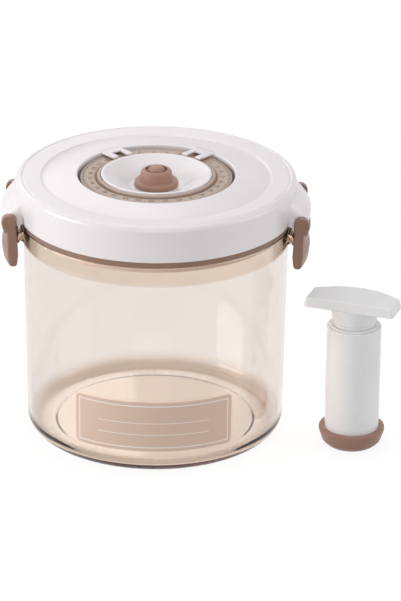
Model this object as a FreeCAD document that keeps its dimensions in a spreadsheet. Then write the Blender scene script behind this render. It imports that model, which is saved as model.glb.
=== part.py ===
import FreeCAD, Part
import math
import os
import re
import Sketcher

# Vacuum seal canister with its hand pump, in millimetres.
# The origin is the centre of the canister's foot, +Z is up, the latches lie on +X and -X,
# and the label faces -Y.

SIZES = (
    ("body_radius", 85.0, "canister: outer radius under the collar"),
    ("wall_draft", 2.0, "canister: how much the wall narrows down to the foot"),
    ("base_round", 10.0, "canister: outer rounding of the foot"),
    ("body_wall", 2.6, "canister: side wall"),
    ("floor_thickness", 3.6, "canister: floor"),
    ("floor_round", 7.0, "canister: inner rounding at the floor"),
    ("foot_width", 8.0, "canister: width of the ring it stands on"),
    ("foot_recess", 1.4, "canister: height of the hollow inside the foot ring"),
    ("rim_height", 143.5, "canister: height of the mouth's flat rim"),
    ("collar_reach", 1.2, "canister: step of the collar out from the wall"),
    ("collar_height", 12.7, "canister: height of the collar"),
    ("collar_round", 0.8, "canister: rounding of the collar's edges"),
    ("mouth_step", 0.6, "canister: extra thickness of the wall in the mouth"),
    ("catch_reach", 3.8, "catch lug: reach out from the collar"),
    ("catch_drop", 3.5, "catch lug: drop of its top below the rim"),
    ("catch_height", 5.4, "catch lug: height from its outer lower edge to its top"),
    ("catch_angle", 26.0, "catch lug: angle it spans"),
    ("catch_slope", 0.47, "catch lug: rise of its underside per millimetre outwards"),
    ("label_low", 16.5, "label: height of the lower edge"),
    ("label_height", 34.0, "label: height of the panel"),
    ("label_angle", 72.0, "label: angle it spans"),
    ("label_thickness", 0.35, "label: film thickness"),
    ("label_corner", 3.0, "label: corner radius"),
    ("glue_gap", 0.05, "clearance of seated films, rings and sleeves"),
    ("gasket_height", 4.5, "gasket: height between rim and lid"),
    ("gasket_reach", 0.6, "gasket: reach out from the collar"),
    ("gasket_round", 0.8, "gasket: rounding of the outer edge"),
    ("plug_clearance", 1.0, "lid base: radial room of the plug in the mouth"),
    ("plug_depth", 9.0, "lid base: depth of the plug below the lid"),
    ("plug_wall", 2.4, "lid base: wall of the plug"),
    ("base_wall", 2.2, "lid base: wall of plate, drum and dish"),
    ("flange_lift", 2.6, "lid base: height of the flange above the gasket"),
    ("flange_thickness", 2.4, "lid base: thickness of the flange"),
    ("flange_clearance", 0.6, "lid base: radial room of the flange in the skirt"),
    ("seat_room", 0.6, "lid base: radial room between the gasket seat and the snap bead"),
    ("ledge_margin", 0.4, "lid base: step of the ledge in from the dial's edge"),
    ("drum_draft", 1.0, "lid base: spread of the drum wall at its foot"),
    ("dish_stand", 0.8, "dish: height of the rim above the dial's lip"),
    ("dish_radius", 35.4, "dish: outer radius of the rim"),
    ("dish_rim", 1.6, "dish: width of the rim"),
    ("dish_depth", 8.1, "dish: depth of the floor below the rim"),
    ("dish_margin", 3.0, "dish: flat floor left round the valve"),
    ("vent_radius", 0.9, "dish: radius of a vent hole"),
    ("vent_cover", 2.0, "dish: distance of the vent holes in from the flap's edge"),
    ("vent_count", 6, "dish: number of vent holes"),
    ("stem_room", 0.4, "dish: air gap round the release stem"),
    ("lid_overhang", 3.8, "lid cover: reach out from the collar"),
    ("lid_height", 24.0, "lid cover: height of the rim above the gasket"),
    ("skirt_draft", 1.6, "lid cover: how much the skirt narrows down to its edge"),
    ("skirt_wall", 2.4, "lid cover: wall of the skirt"),
    ("cover_wall", 2.2, "lid cover: wall of the deck"),
    ("snap_bead", 1.6, "lid cover: reach of the bead that holds the lid base"),
    ("snap_room", 0.2, "lid cover: play between bead and flange"),
    ("snap_height", 1.0, "lid cover: height of the bead"),
    ("bead_margin", 0.2, "lid cover: height of the bead's lower end above the skirt's edge"),
    ("rim_round", 5.0, "lid cover: rounding of the rim"),
    ("crest_margin", 1.0, "lid cover: flat left inside the rim's rounding"),
    ("crest_width", 10.0, "lid cover: width of the rim's inner fall"),
    ("rim_dip", 0.5, "lid cover: fall of the rim to its inner edge"),
    ("step_width", 1.2, "lid cover: width of the step inside the rim"),
    ("step_drop", 1.4, "lid cover: drop of the step below the rim"),
    ("slope_width", 8.0, "lid cover: width of the slope from the step to the deck"),
    ("slope_rise", 1.7, "lid cover: rise of that slope"),
    ("deck_rise", 1.0, "lid cover: rise of the deck towards the dial"),
    ("recess_wall", 1.9, "lid cover: wall round the recess"),
    ("recess_drop", 6.0, "lid cover: reach of the recess wall below the dial"),
    ("tab_angle", 37.0, "pointer tab: angle either side of the back"),
    ("tab_end_gap", 0.8, "pointer tab: gap between its end and the dish"),
    ("tab_width", 15.0, "pointer tab: width"),
    ("tab_thickness", 1.3, "pointer tab: thickness"),
    ("tab_room", 0.4, "pointer tab: room above the dial's lip"),
    ("tab_sink", 0.3, "pointer tab: how deep it is let into the deck"),
    ("notch_width", 6.5, "pointer tab: width of its notch"),
    ("notch_depth", 8.0, "pointer tab: depth of its notch"),
    ("dial_width", 13.2, "dial: width of the ring outside the dish"),
    ("dial_room", 1.7, "dial: gap to the recess wall"),
    ("dial_fit", 0.08, "dial: running clearance on the dish"),
    ("dial_thickness", 3.2, "dial: thickness of the band"),
    ("dial_round", 0.6, "dial: rounding of its edges"),
    ("lip_width", 2.32, "dial: width of the raised lip"),
    ("lip_height", 1.4, "dial: height of the lip above the band"),
    ("tick_count", 31, "dial: number of raised ticks"),
    ("tick_length", 1.8, "dial: length of a tick"),
    ("tick_width", 0.5, "dial: width of a tick"),
    ("tick_height", 0.25, "dial: height of a tick"),
    ("tick_margin", 0.9, "dial: distance of the ticks from the edge"),
    ("boot_top_radius", 9.6, "valve boot: radius at the top"),
    ("boot_draft", 1.2, "valve boot: how much the dome narrows to its top"),
    ("flap_width", 3.2, "valve boot: width of the flap round the dome"),
    ("boot_flange_height", 3.5, "valve boot: height of the flap"),
    ("boot_height", 10.8, "valve boot: height above the dish floor"),
    ("boot_wall", 1.3, "valve boot: wall between the top edge and the cavity"),
    ("mouth_lip", 1.3, "valve boot: reach of the lip round the mouth"),
    ("boot_mouth_depth", 1.6, "valve boot: thickness round the mouth"),
    ("boot_round", 2.0, "valve boot: rounding of the shoulder"),
    ("flap_round", 1.2, "valve boot: rounding of the flap"),
    ("button_gap", 1.4, "release button: gap in the boot's mouth"),
    ("button_stand", 1.8, "release button: height above the boot"),
    ("button_round", 3.0, "release button: rounding of the dome"),
    ("button_flange_room", 0.6, "release button: radial room of its flange in the boot"),
    ("button_flange_height", 1.5, "release button: height of its flange"),
    ("button_room", 0.2, "release button: play under the boot's mouth"),
    ("stem_radius", 2.2, "release button: radius of the stem"),
    ("stem_tail", 0.6, "release button: length of stem below the clip"),
    ("spring_gap", 2.0, "release spring: gap between stem and wire"),
    ("spring_wire", 0.8, "release spring: wire diameter"),
    ("spring_turns", 4.0, "release spring: number of turns"),
    ("spring_room", 0.15, "release spring: play at each end"),
    ("seal_radius", 6.5, "release seal: radius"),
    ("seal_height", 2.4, "release seal: height"),
    ("clip_radius", 4.4, "release clip: radius"),
    ("clip_height", 1.6, "release clip: height"),
    ("pivot_reach", 2.7, "latch: distance of the pin outside the lid"),
    ("pivot_rise", 2.8, "latch: height of the pin above the gasket"),
    ("pin_radius", 1.5, "latch: radius of the pin"),
    ("pin_fit", 0.05, "latch: running clearance on the pin"),
    ("pin_end_room", 0.3, "latch: play at each end of the pin"),
    ("strip_angle", 78.0, "latch: angle of the turned strips before they are cut to width"),
    ("ear_width", 54.4, "latch ear: width"),
    ("ear_reach", 6.3, "latch ear: reach outside the pin's axis"),
    ("ear_drop", 7.5, "latch ear: drop below the rim where it leaves the skirt"),
    ("ear_shoulder", 6.4, "latch ear: height of the shoulder above the pin"),
    ("ear_nose", 4.4, "latch ear: height of the flat nose"),
    ("ear_round", 2.6, "latch ear: rounding of the nose"),
    ("cheek_room", 0.3, "latch lever: side play against the ear"),
    ("cheek_width", 5.0, "latch lever: thickness of an end cheek"),
    ("cheek_skin", 1.5, "latch lever: material left outside the pin"),
    ("head_radius", 4.9, "latch lever: radius of the round head"),
    ("paddle_room", 2.6, "latch lever: room between catch lug and paddle"),
    ("paddle_thickness", 6.4, "latch lever: thickness of the paddle"),
    ("neck_inset", 2.2, "latch lever: depth of the neck"),
    ("brow_reach", 0.5, "latch lever: reach of the brow outside the paddle"),
    ("paddle_gap", 0.4, "latch lever: gap between the paddle's top and the ear"),
    ("brow_slope", 2.4, "latch lever: drop from the top to the brow"),
    ("neck_drop", 6.1, "latch lever: drop from the brow to the neck"),
    ("belly_drop", 7.5, "latch lever: drop from the neck to the belly"),
    ("tip_drop", 7.0, "latch lever: drop from the belly to the tip"),
    ("tip_inset", 1.6, "latch lever: taper of the tip"),
    ("tip_share", 0.45, "latch lever: rounding of the tip as a share of its width"),
    ("paddle_round", 1.4, "latch lever: rounding of the long edges"),
    ("hook_reach", 1.8, "latch hook: reach in under the catch lug"),
    ("hook_angle", 20.0, "latch hook: angle it spans"),
    ("hook_room", 0.5, "latch hook: play under the catch"),
    ("hook_height", 2.2, "latch hook: height of the tip"),
    ("hook_root", 5.5, "latch hook: height of the root"),
    ("handle_lap", 2.0, "pump: how far the handle's end reaches in over the lever's brow"),
    ("pump_forward", 31.0, "pump: distance of its axis in front of the canister's"),
    ("pump_yaw", -19.0, "pump: turn of the handle"),
    ("barrel_radius", 17.5, "pump barrel: outer radius"),
    ("barrel_wall", 2.2, "pump barrel: wall"),
    ("barrel_length", 80.0, "pump barrel: length"),
    ("barrel_floor", 3.0, "pump barrel: thickness of the bottom"),
    ("barrel_round", 0.6, "pump barrel: rounding of the rim"),
    ("intake_radius", 3.0, "pump barrel: radius of the intake hole"),
    ("flap_lap", 3.0, "intake flap: overlap round the intake hole"),
    ("flap_thickness", 1.2, "intake flap: thickness"),
    ("cup_floor", 3.0, "pump cup: thickness under the barrel"),
    ("cup_tuck", 2.0, "pump cup: how much its foot is narrower than the barrel"),
    ("cup_ring", 5.5, "pump cup: width of the ring it stands on"),
    ("cup_wall", 1.4, "pump cup: wall round the barrel's foot"),
    ("cup_flare", 2.25, "pump cup: flare of the lip"),
    ("cup_height", 12.4, "pump cup: height of the lip"),
    ("cup_lip", 2.4, "pump cup: thickness of the lip"),
    ("cup_round", 0.9, "pump cup: rounding of the lip"),
    ("cap_flange", 1.2, "pump cap: thickness above the rim"),
    ("cap_lap", 0.5, "pump cap: overlap on the barrel's rim"),
    ("cap_depth", 6.0, "pump cap: depth inside the barrel"),
    ("rod_radius", 4.0, "pump rod: radius"),
    ("rod_fit", 0.1, "pump rod: running clearance in the cap"),
    ("rod_grip", 10.0, "pump rod: length held in the handle's boss"),
    ("neck_step", 2.0, "pump handle: step from the cap in to the lower neck"),
    ("neck_low_height", 2.4, "pump handle: height of the lower neck"),
    ("boss_reach", 0.6, "pump handle: step from the lower neck out to the boss"),
    ("boss_flare", 1.1, "pump handle: flare of the boss from its foot to its top"),
    ("boss_height", 10.6, "pump handle: height of the boss"),
    ("boss_round", 0.4, "pump handle: rounding of the boss"),
    ("handle_length", 60.0, "pump handle: length of the plate"),
    ("handle_width", 31.0, "pump handle: width of the plate"),
    ("handle_thickness", 6.0, "pump handle: thickness of the plate"),
    ("handle_bow", 10.5, "pump handle: bow of the plate's back edge"),
    ("handle_sweep", 30.0, "pump handle: rounding along the bowed edge"),
    ("handle_corner", 2.0, "pump handle: rounding of the plate's corners"),
    ("handle_draft", 12.0, "pump handle: inward slope of the plate's sides"),
    ("handle_round", 1.2, "pump handle: rounding of the plate's upper rim"),
    ("piston_low", 12.0, "piston: height of its lower face above the barrel's bottom"),
    ("piston_height", 12.0, "piston: height"),
    ("piston_room", 0.4, "piston: radial room in the barrel"),
    ("ring_height", 5.0, "piston ring: height"),
    ("ring_depth", 2.6, "piston ring: depth of its groove"),
    ("ring_fit", 0.06, "piston ring: running clearance in the barrel"),
    ("screw_radius", 1.6, "piston screw: radius of the shank"),
    ("screw_bite", 2.0, "piston screw: length held in the rod"),
    ("screw_head_radius", 3.4, "piston screw: radius of the head"),
    ("screw_head_height", 2.2, "piston screw: height of the head"),
)

# Sizes that follow from those above, in the order they are worked out.
FOLLOWING = (
    ("base_radius", "body_radius - wall_draft"),
    ("collar_radius", "body_radius + collar_reach"),
    ("collar_low", "rim_height - collar_height"),
    ("mouth_radius", "body_radius - body_wall - mouth_step"),
    ("catch_radius", "collar_radius + catch_reach"),
    ("catch_top", "rim_height - catch_drop"),
    ("catch_low", "catch_top - catch_height"),
    ("gasket_radius", "collar_radius + gasket_reach"),
    ("lid_radius", "collar_radius + lid_overhang"),
    ("skirt_radius", "lid_radius - skirt_draft"),
    ("rim_top", "rim_height + gasket_height + lid_height"),
    ("rim_crest", "lid_radius - rim_round - crest_margin"),
    ("rim_inner", "rim_crest - crest_width"),
    ("step_radius", "rim_inner - step_width"),
    ("step_height", "rim_top - step_drop"),
    ("plateau_radius", "step_radius - slope_width"),
    ("plateau_height", "step_height + slope_rise"),
    ("deck_height", "plateau_height + deck_rise"),
    ("seat_radius", "skirt_radius - skirt_wall - snap_bead - seat_room"),
    ("dial_radius", "dish_radius + dial_width"),
    ("lip_radius", "dish_radius + dial_fit + lip_width"),
    ("recess_radius", "dial_radius + dial_room"),
    ("ledge_height", "deck_height - tab_sink - tab_room - lip_height - dial_thickness"),
    ("ledge_radius", "dial_radius - ledge_margin"),
    ("dish_height", "ledge_height + dial_thickness + lip_height + dish_stand"),
    ("dish_floor", "dish_height - dish_depth"),
    ("tab_reach", "dish_radius + tab_end_gap"),
    ("boot_radius", "boot_top_radius + boot_draft"),
    ("boot_flange_radius", "boot_radius + flap_width"),
    ("boot_cavity_radius", "boot_top_radius - boot_wall"),
    ("boot_mouth_radius", "boot_cavity_radius - mouth_lip"),
    ("dish_floor_radius", "boot_flange_radius + dish_margin"),
    ("vent_circle", "boot_flange_radius - vent_cover"),
    ("button_radius", "boot_mouth_radius - button_gap"),
    ("button_height", "boot_height + button_stand"),
    ("button_flange_radius", "boot_cavity_radius - button_flange_room"),
    ("spring_radius", "stem_radius + spring_gap + spring_wire / 2"),
    ("pivot_radius", "lid_radius + pivot_reach"),
    ("pivot_height", "rim_height + gasket_height + pivot_rise"),
    ("ear_radius", "pivot_radius + ear_reach"),
    ("ear_top", "rim_top - ear_drop"),
    ("paddle_inner", "catch_radius + paddle_room"),
    ("paddle_outer", "paddle_inner + paddle_thickness"),
    ("neck_radius", "paddle_outer - neck_inset"),
    ("brow_radius", "paddle_outer + brow_reach"),
    ("paddle_top", "pivot_height - ear_shoulder - paddle_gap"),
    ("brow_height", "paddle_top - brow_slope"),
    ("neck_height", "brow_height - neck_drop"),
    ("belly_height", "neck_height - belly_drop"),
    ("paddle_low", "belly_height - tip_drop"),
    ("tip_width", "paddle_thickness - tip_inset - tip_inset / 2"),
    ("tip_round", "tip_width * tip_share"),
    ("hook_radius", "catch_radius - hook_reach"),
    ("pump_x", "brow_radius + handle_length / 2 - handle_lap"),
    ("pump_y", "-pump_forward"),
    ("barrel_top", "cup_floor + barrel_length"),
    ("flap_radius", "intake_radius + flap_lap"),
    ("cup_foot", "barrel_radius - cup_tuck"),
    ("cup_mouth", "cup_foot - cup_ring"),
    ("cup_radius", "barrel_radius + glue_gap + cup_wall + cup_flare"),
    ("cap_flange_radius", "barrel_radius - barrel_wall + cap_lap"),
    ("neck_low_radius", "cap_flange_radius - neck_step"),
    ("boss_low_radius", "neck_low_radius + boss_reach"),
    ("boss_radius", "boss_low_radius + boss_flare"),
    ("screw_length", "piston_height + screw_bite"),
)

# Heights and radii in formulas of their own.
LID_LOW = "(rim_height + gasket_height)"
PLUG_RADIUS = "(mouth_radius - plug_clearance)"
FLANGE_LOW = f"({LID_LOW} + flange_lift)"
FLANGE_TOP = f"({FLANGE_LOW} + flange_thickness)"
SKIRT_BORE = "(skirt_radius - skirt_wall)"
FLANGE_RADIUS = f"({SKIRT_BORE} - flange_clearance)"
BEAD_TOP = f"({FLANGE_LOW} - snap_room)"
DISH_BORE = "(dish_radius - dish_rim)"
DISH_UNDER = "(dish_floor - base_wall)"
DISH_SLOPE = f"(({DISH_BORE} - dish_floor_radius) / (dish_height - dish_floor))"
STEM_BORE = "(stem_radius + stem_room)"
DIAL_BORE = "(dish_radius + dial_fit)"
DIAL_TOP = "(ledge_height + dial_thickness)"
LIP_TOP = f"({DIAL_TOP} + lip_height)"
BOOT_TOP = "(dish_floor + boot_height)"
BUTTON_FLANGE_TOP = f"({BOOT_TOP} - boot_mouth_depth - button_room)"
BUTTON_FLANGE_LOW = f"({BUTTON_FLANGE_TOP} - button_flange_height)"
SEAL_LOW = f"({DISH_UNDER} - seal_height)"
CLIP_LOW = f"({SEAL_LOW} - clip_height)"
HALF_EAR = "(ear_width / 2)"
HALF_LEVER = f"({HALF_EAR} + cheek_room + cheek_width)"
PIN_LENGTH = f"(2 * ({HALF_LEVER} - cheek_skin - pin_end_room))"
HOOK_TOP = "(catch_low - hook_room)"
BARREL_BORE = "(barrel_radius - barrel_wall)"
BARREL_INSIDE = "(cup_floor + barrel_floor)"
CAP_TOP = "(barrel_top + cap_flange)"
BOSS_LOW = f"({CAP_TOP} + neck_low_height)"
PLATE_LOW = f"({BOSS_LOW} + boss_height)"
GRIP_TOP = f"({BOSS_LOW} + rod_grip)"
BOW_REACH = "(handle_length * 3 / 8)"
PISTON_LOW = f"({BARREL_INSIDE} + piston_low)"
PISTON_TOP = f"({PISTON_LOW} + piston_height)"
PISTON_RADIUS = f"({BARREL_BORE} - piston_room)"
RING_LOW = f"({PISTON_LOW} + (piston_height - ring_height) / 2)"
SEAL_HOLE = "(stem_radius + glue_gap)"

FULL_TURN = 360.0
HALF_TURN = 180.0
QUARTER_TURN = 90.0
Z_AXIS = FreeCAD.Vector(0, 0, 1)
X_AXIS = FreeCAD.Vector(1, 0, 0)
TOLERANCE = 1e-4

doc = FreeCAD.newDocument("VacuumCanister")
sheet = doc.addObject("Spreadsheet::Sheet", "dims")
for row, (alias, number, meaning) in enumerate(SIZES, start=1):
    sheet.set(f"A{row}", meaning)
    sheet.set(f"B{row}", str(number))
    sheet.setAlias(f"B{row}", alias)
for row, (alias, formula) in enumerate(FOLLOWING, start=len(SIZES) + 1):
    sheet.set(f"A{row}", formula)
    sheet.set(f"B{row}", f"={formula}")
    sheet.setAlias(f"B{row}", alias)
doc.recompute()

ALIASES = {row[0] for row in (*SIZES, *FOLLOWING)}
nodes = []


def bound(text):
    """Turn a formula in size names into an expression that reads the sheet."""
    return re.sub(
        r"[a-z_]+",
        lambda word: f"dims.{word.group()}" if word.group() in ALIASES else word.group(),
        text,
    )


def size(text):
    """The present value of a formula in size names."""
    return float(sheet.evalExpression(bound(text)))


def bind(thing, formulas):
    """Bind properties of an object to formulas in size names."""
    for path, text in formulas.items():
        thing.setExpression(path, bound(text))


def node(name, thing):
    """Name a finished sub-part."""
    thing.Label = name
    nodes.append((name, thing))
    return thing


def origin_plane(body, role):
    """One of a body's own base planes."""
    return next(plane for plane in body.Origin.OriginFeatures if plane.Role == role)


def outline(body, name, role, corners):
    """A closed sketch of straight sides whose corners are bound to formulas.

    Each corner is (name, first coordinate, second coordinate).
    """
    sketch = body.newObject("Sketcher::SketchObject", name)
    sketch.AttachmentSupport = [(origin_plane(body, role), "")]
    sketch.MapMode = "FlatFace"
    places = [FreeCAD.Vector(size(u), size(v), 0) for label, u, v in corners]
    count = len(places)
    for index, start in enumerate(places):
        sketch.addGeometry(Part.LineSegment(start, places[(index + 1) % count]), False)
    for index in range(count):
        sketch.addConstraint(Sketcher.Constraint("Coincident", index, 2, (index + 1) % count, 1))
    for index, (label, u, v) in enumerate(corners):
        across = Sketcher.Constraint("DistanceX", -1, 1, index, 1, places[index].x)
        sketch.setExpression(f"Constraints[{sketch.addConstraint(across)}]", bound(u))
        along = Sketcher.Constraint("DistanceY", -1, 1, index, 1, places[index].y)
        sketch.setExpression(f"Constraints[{sketch.addConstraint(along)}]", bound(v))
    return sketch


def ring_edges(shape, radius, height):
    """The circular edges about Z at a radius and height."""
    found = []
    for index, edge in enumerate(shape.Edges, start=1):
        curve = edge.Curve
        if not isinstance(curve, Part.Circle):
            continue
        level = abs(curve.Center.z - height) < TOLERANCE
        centred = math.hypot(curve.Center.x, curve.Center.y) < TOLERANCE
        if level and centred and abs(curve.Radius - radius) < TOLERANCE:
            found.append(f"Edge{index}")
    return found


def rising_edges(shape, near, far):
    """The straight edges that rise from foot to top, between two distances from the middle along X."""
    found = []
    for index, edge in enumerate(shape.Edges, start=1):
        rises = edge.BoundBox.ZLength > shape.BoundBox.ZLength / 2
        if rises and near <= abs(edge.CenterOfMass.x) < far:
            found.append(f"Edge{index}")
    return found


def round_edges(body, edges, radius):
    """Round some edges of a body's last feature by a bound radius."""
    if not edges:
        raise RuntimeError(f"{body.Name}: no edge to round by {radius}")
    fillet = body.newObject("PartDesign::Fillet", f"{body.Name}Round")
    fillet.Base = (fillet.BaseFeature, edges)
    bind(fillet, {"Radius": radius})
    body.Tip = fillet
    doc.recompute()


def turned(name, corners, angle=None, rounds=None):
    """A body turned about Z from an outline of (name, radius, height) corners.

    With an angle it is a segment centred on +X. rounds maps a radius to corner names.
    """
    body = doc.addObject("PartDesign::Body", name)
    sketch = outline(body, f"{name}Outline", "XZ_Plane", corners)
    turn = body.newObject("PartDesign::Revolution", f"{name}Turn")
    turn.Profile = sketch
    turn.ReferenceAxis = (sketch, ["V_Axis"])
    turn.Angle = FULL_TURN
    if angle is not None:
        turn.Midplane = True
        bind(turn, {"Angle": angle})
    doc.recompute()
    places = {label: (size(u), size(v)) for label, u, v in corners}
    for radius, labels in (rounds or {}).items():
        edges = []
        for label in labels:
            edges += ring_edges(body.Tip.Shape, *places[label])
        round_edges(body, edges, radius)
    return body


def padded(name, role, corners, length, draft=None):
    """A body pushed both ways from an outline on one of its base planes.

    With a draft it is pushed one way, and its sides lean in by that angle.
    """
    body = doc.addObject("PartDesign::Body", name)
    sketch = outline(body, f"{name}Outline", role, corners)
    pad = body.newObject("PartDesign::Pad", f"{name}Pad")
    pad.Profile = sketch
    bind(pad, {"Length": length})
    if draft is None:
        pad.SideType = "Symmetric"
    else:
        bind(pad, {"TaperAngle": f"-{draft}"})
    doc.recompute()
    return body


def place(thing, x, y, z):
    """Bind an object's place to formulas in size names."""
    bind(thing, {"Placement.Base.x": x, "Placement.Base.y": y, "Placement.Base.z": z})
    return thing


def cylinder(name, radius, height, x, y, z):
    """An upright cylinder."""
    thing = doc.addObject("Part::Cylinder", name)
    bind(thing, {"Radius": radius, "Height": height})
    return place(thing, x, y, z)


def cross_pin(name, radius, length):
    """A cylinder along Y, centred on the right latch's pin axis."""
    thing = doc.addObject("Part::Cylinder", name)
    bind(thing, {"Radius": radius, "Height": length})
    thing.Placement.Rotation = FreeCAD.Rotation(X_AXIS, QUARTER_TURN)
    return place(thing, "pivot_radius", f"{length} / 2", "pivot_height")


def block(name, lengths, corner):
    """A box of given lengths from its lowest corner."""
    thing = doc.addObject("Part::Box", name)
    bind(thing, dict(zip(("Length", "Width", "Height"), lengths)))
    return place(thing, *corner)


def joined(name, things):
    """Several solids made one."""
    thing = doc.addObject("Part::MultiFuse", name)
    thing.Shapes = things
    doc.recompute()
    return thing


def cut_away(name, base, tool):
    """One solid less another."""
    doc.recompute()
    before = base.Shape.Volume
    thing = doc.addObject("Part::Cut", name)
    thing.Base = base
    thing.Tool = tool
    doc.recompute()
    if thing.Shape.Volume >= before:
        raise RuntimeError(f"{name}: nothing was cut away")
    return thing


def shared(name, first, second):
    """What two solids have in common."""
    thing = doc.addObject("Part::Common", name)
    thing.Base = first
    thing.Tool = second
    doc.recompute()
    return thing


def half_turned(thing):
    """Turn a right-hand piece about Z to the canister's left side."""
    thing.Placement = FreeCAD.Placement(FreeCAD.Vector(), FreeCAD.Rotation(Z_AXIS, HALF_TURN))
    return thing


def canister():
    """The clear body: drafted wall, rounded foot, thick collar and two catch lugs."""
    foot = "(base_radius - base_round)"
    shell = turned(
        "CanisterShell",
        (
            ("hollow_centre", "0", "foot_recess"),
            ("hollow_edge", f"{foot} - foot_width", "foot_recess"),
            ("foot_inner", f"{foot} - foot_width", "0"),
            ("foot", "base_radius", "0"),
            ("wall_top", "body_radius", "collar_low"),
            ("collar_low", "collar_radius", "collar_low"),
            ("collar_top", "collar_radius", "rim_height"),
            ("mouth", "mouth_radius", "rim_height"),
            ("mouth_low", "mouth_radius", "collar_low"),
            ("floor_edge", "base_radius - body_wall", "foot_recess + floor_thickness"),
            ("floor_centre", "0", "foot_recess + floor_thickness"),
        ),
        rounds={
            "base_round": ("foot",),
            "floor_round": ("floor_edge",),
            "collar_round": ("collar_low", "collar_top"),
        },
    )
    rise = "catch_slope * (catch_radius - collar_radius)"
    lug = turned(
        "CatchLug",
        (
            ("root_low", "mouth_radius + body_wall / 2", f"catch_low - {rise}"),
            ("lip_root", "collar_radius", f"catch_low - {rise}"),
            ("lip_low", "catch_radius", "catch_low"),
            ("lip_top", "catch_radius", "catch_top - (catch_radius - collar_radius) / 2"),
            ("top", "collar_radius", "catch_top"),
            ("root_top", "mouth_radius + body_wall / 2", "catch_top"),
        ),
        angle="catch_angle",
    )
    other_lug = doc.addObject("Part::Mirroring", "OtherCatchLug")
    other_lug.Source = lug
    other_lug.Normal = X_AXIS
    node("canister_body", joined("Canister", [shell, lug, other_lug]))


def label():
    """The film panel that follows the drafted wall, centred on the front."""
    slope = "((body_radius - base_radius) / collar_low)"
    inner_low = f"base_radius + {slope} * label_low + glue_gap"
    inner_top = f"base_radius + {slope} * (label_low + label_height) + glue_gap"
    panel = turned(
        "LabelPanel",
        (
            ("inner_low", inner_low, "label_low"),
            ("outer_low", f"{inner_low} + label_thickness", "label_low"),
            ("outer_top", f"{inner_top} + label_thickness", "label_low + label_height"),
            ("inner_top", inner_top, "label_low + label_height"),
        ),
        angle="label_angle",
    )
    short = [
        f"Edge{index}"
        for index, edge in enumerate(panel.Tip.Shape.Edges, start=1)
        if isinstance(edge.Curve, Part.Line) and edge.Length < size("label_thickness") + TOLERANCE
    ]
    round_edges(panel, short, "label_corner")
    panel.Placement.Rotation = FreeCAD.Rotation(Z_AXIS, -QUARTER_TURN)
    node("front_label", panel)


def lid_cover():
    """The white top: rim, stepped deck, skirt with snap bead, ears and pointer tabs."""
    shell = turned(
        "CoverShell",
        (
            ("recess_top", "recess_radius", "deck_height"),
            ("plateau", "plateau_radius", "plateau_height"),
            ("step", "step_radius", "step_height"),
            ("rim_inner", "rim_inner", "rim_top - rim_dip"),
            ("crest", "rim_crest", "rim_top"),
            ("shoulder", "lid_radius", "rim_top"),
            ("skirt_edge", "skirt_radius", LID_LOW),
            ("skirt_bore", SKIRT_BORE, LID_LOW),
            ("bead_foot", SKIRT_BORE, f"{LID_LOW} + bead_margin"),
            ("bead_low", f"{SKIRT_BORE} - snap_bead", f"{BEAD_TOP} - snap_height"),
            ("bead_top", f"{SKIRT_BORE} - snap_bead", BEAD_TOP),
            ("bead_root", SKIRT_BORE, BEAD_TOP),
            ("wall_top", "lid_radius - skirt_wall", "rim_top - rim_round"),
            ("crest_under", "rim_crest", "rim_top - cover_wall"),
            ("rim_under", "rim_inner", "rim_top - rim_dip - cover_wall"),
            ("step_under", "step_radius", "step_height - cover_wall"),
            ("plateau_under", "plateau_radius", "plateau_height - cover_wall"),
            ("wall_under", "recess_radius + recess_wall", "deck_height - cover_wall"),
            ("wall_outer", "recess_radius + recess_wall", "ledge_height - recess_drop"),
            ("wall_inner", "recess_radius", "ledge_height - recess_drop"),
        ),
        rounds={"rim_round": ("shoulder",)},
    )
    ear_middle = "(pivot_radius + ear_radius) / 2"
    ear_strip = turned(
        "EarStrip",
        (
            ("root_top", "lid_radius - skirt_wall / 2", "ear_top"),
            ("shoulder", ear_middle, "pivot_height + ear_shoulder"),
            ("nose_top", "ear_radius", "pivot_height + ear_nose / 2"),
            ("nose_low", "ear_radius", "pivot_height - ear_nose / 2"),
            ("chin", ear_middle, "pivot_height - ear_shoulder"),
            ("root_low", "skirt_radius - skirt_wall / 2", LID_LOW),
        ),
        angle="strip_angle",
        rounds={"ear_round": ("shoulder", "nose_top", "nose_low", "chin")},
    )
    window = block(
        "EarWindow",
        ("ear_radius", "ear_width", "rim_top"),
        ("0", f"-{HALF_EAR}", "0"),
    )
    ear = shared("Ear", ear_strip, window)
    other_ear = doc.addObject("Part::Mirroring", "OtherEar")
    other_ear.Source = ear
    other_ear.Normal = X_AXIS
    tabs = [pointer_tab("TabLeft", "tab_angle"), pointer_tab("TabRight", "-tab_angle")]
    whole = joined("CoverWhole", [shell, ear, other_ear, *tabs])
    bore = cross_pin("EarBore", "(pin_radius + pin_fit)", "(ear_width * 2)")
    other_bore = doc.addObject("Part::Mirroring", "OtherEarBore")
    other_bore.Source = bore
    other_bore.Normal = X_AXIS
    bores = joined("EarBores", [bore, other_bore])
    node("lid_cover", cut_away("Cover", whole, bores))


def pointer_tab(name, angle):
    """A notched tab that bridges the dial at an angle from the back."""
    low = f"({LIP_TOP} + tab_room)"
    tongue = block(
        f"{name}Tongue",
        ("recess_radius + recess_wall - tab_reach", "tab_width", "tab_thickness"),
        ("tab_reach", "-tab_width / 2", low),
    )
    notch = block(
        f"{name}Notch",
        ("notch_depth + tab_room", "notch_width", "tab_thickness * 3"),
        ("tab_reach - tab_room", "-notch_width / 2", f"{low} - tab_thickness"),
    )
    tab = cut_away(name, tongue, notch)
    tab.Placement.Rotation = FreeCAD.Rotation(Z_AXIS, QUARTER_TURN)
    bind(tab, {"Placement.Rotation.Angle": f"{QUARTER_TURN} + {angle}"})
    doc.recompute()
    return tab


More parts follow.
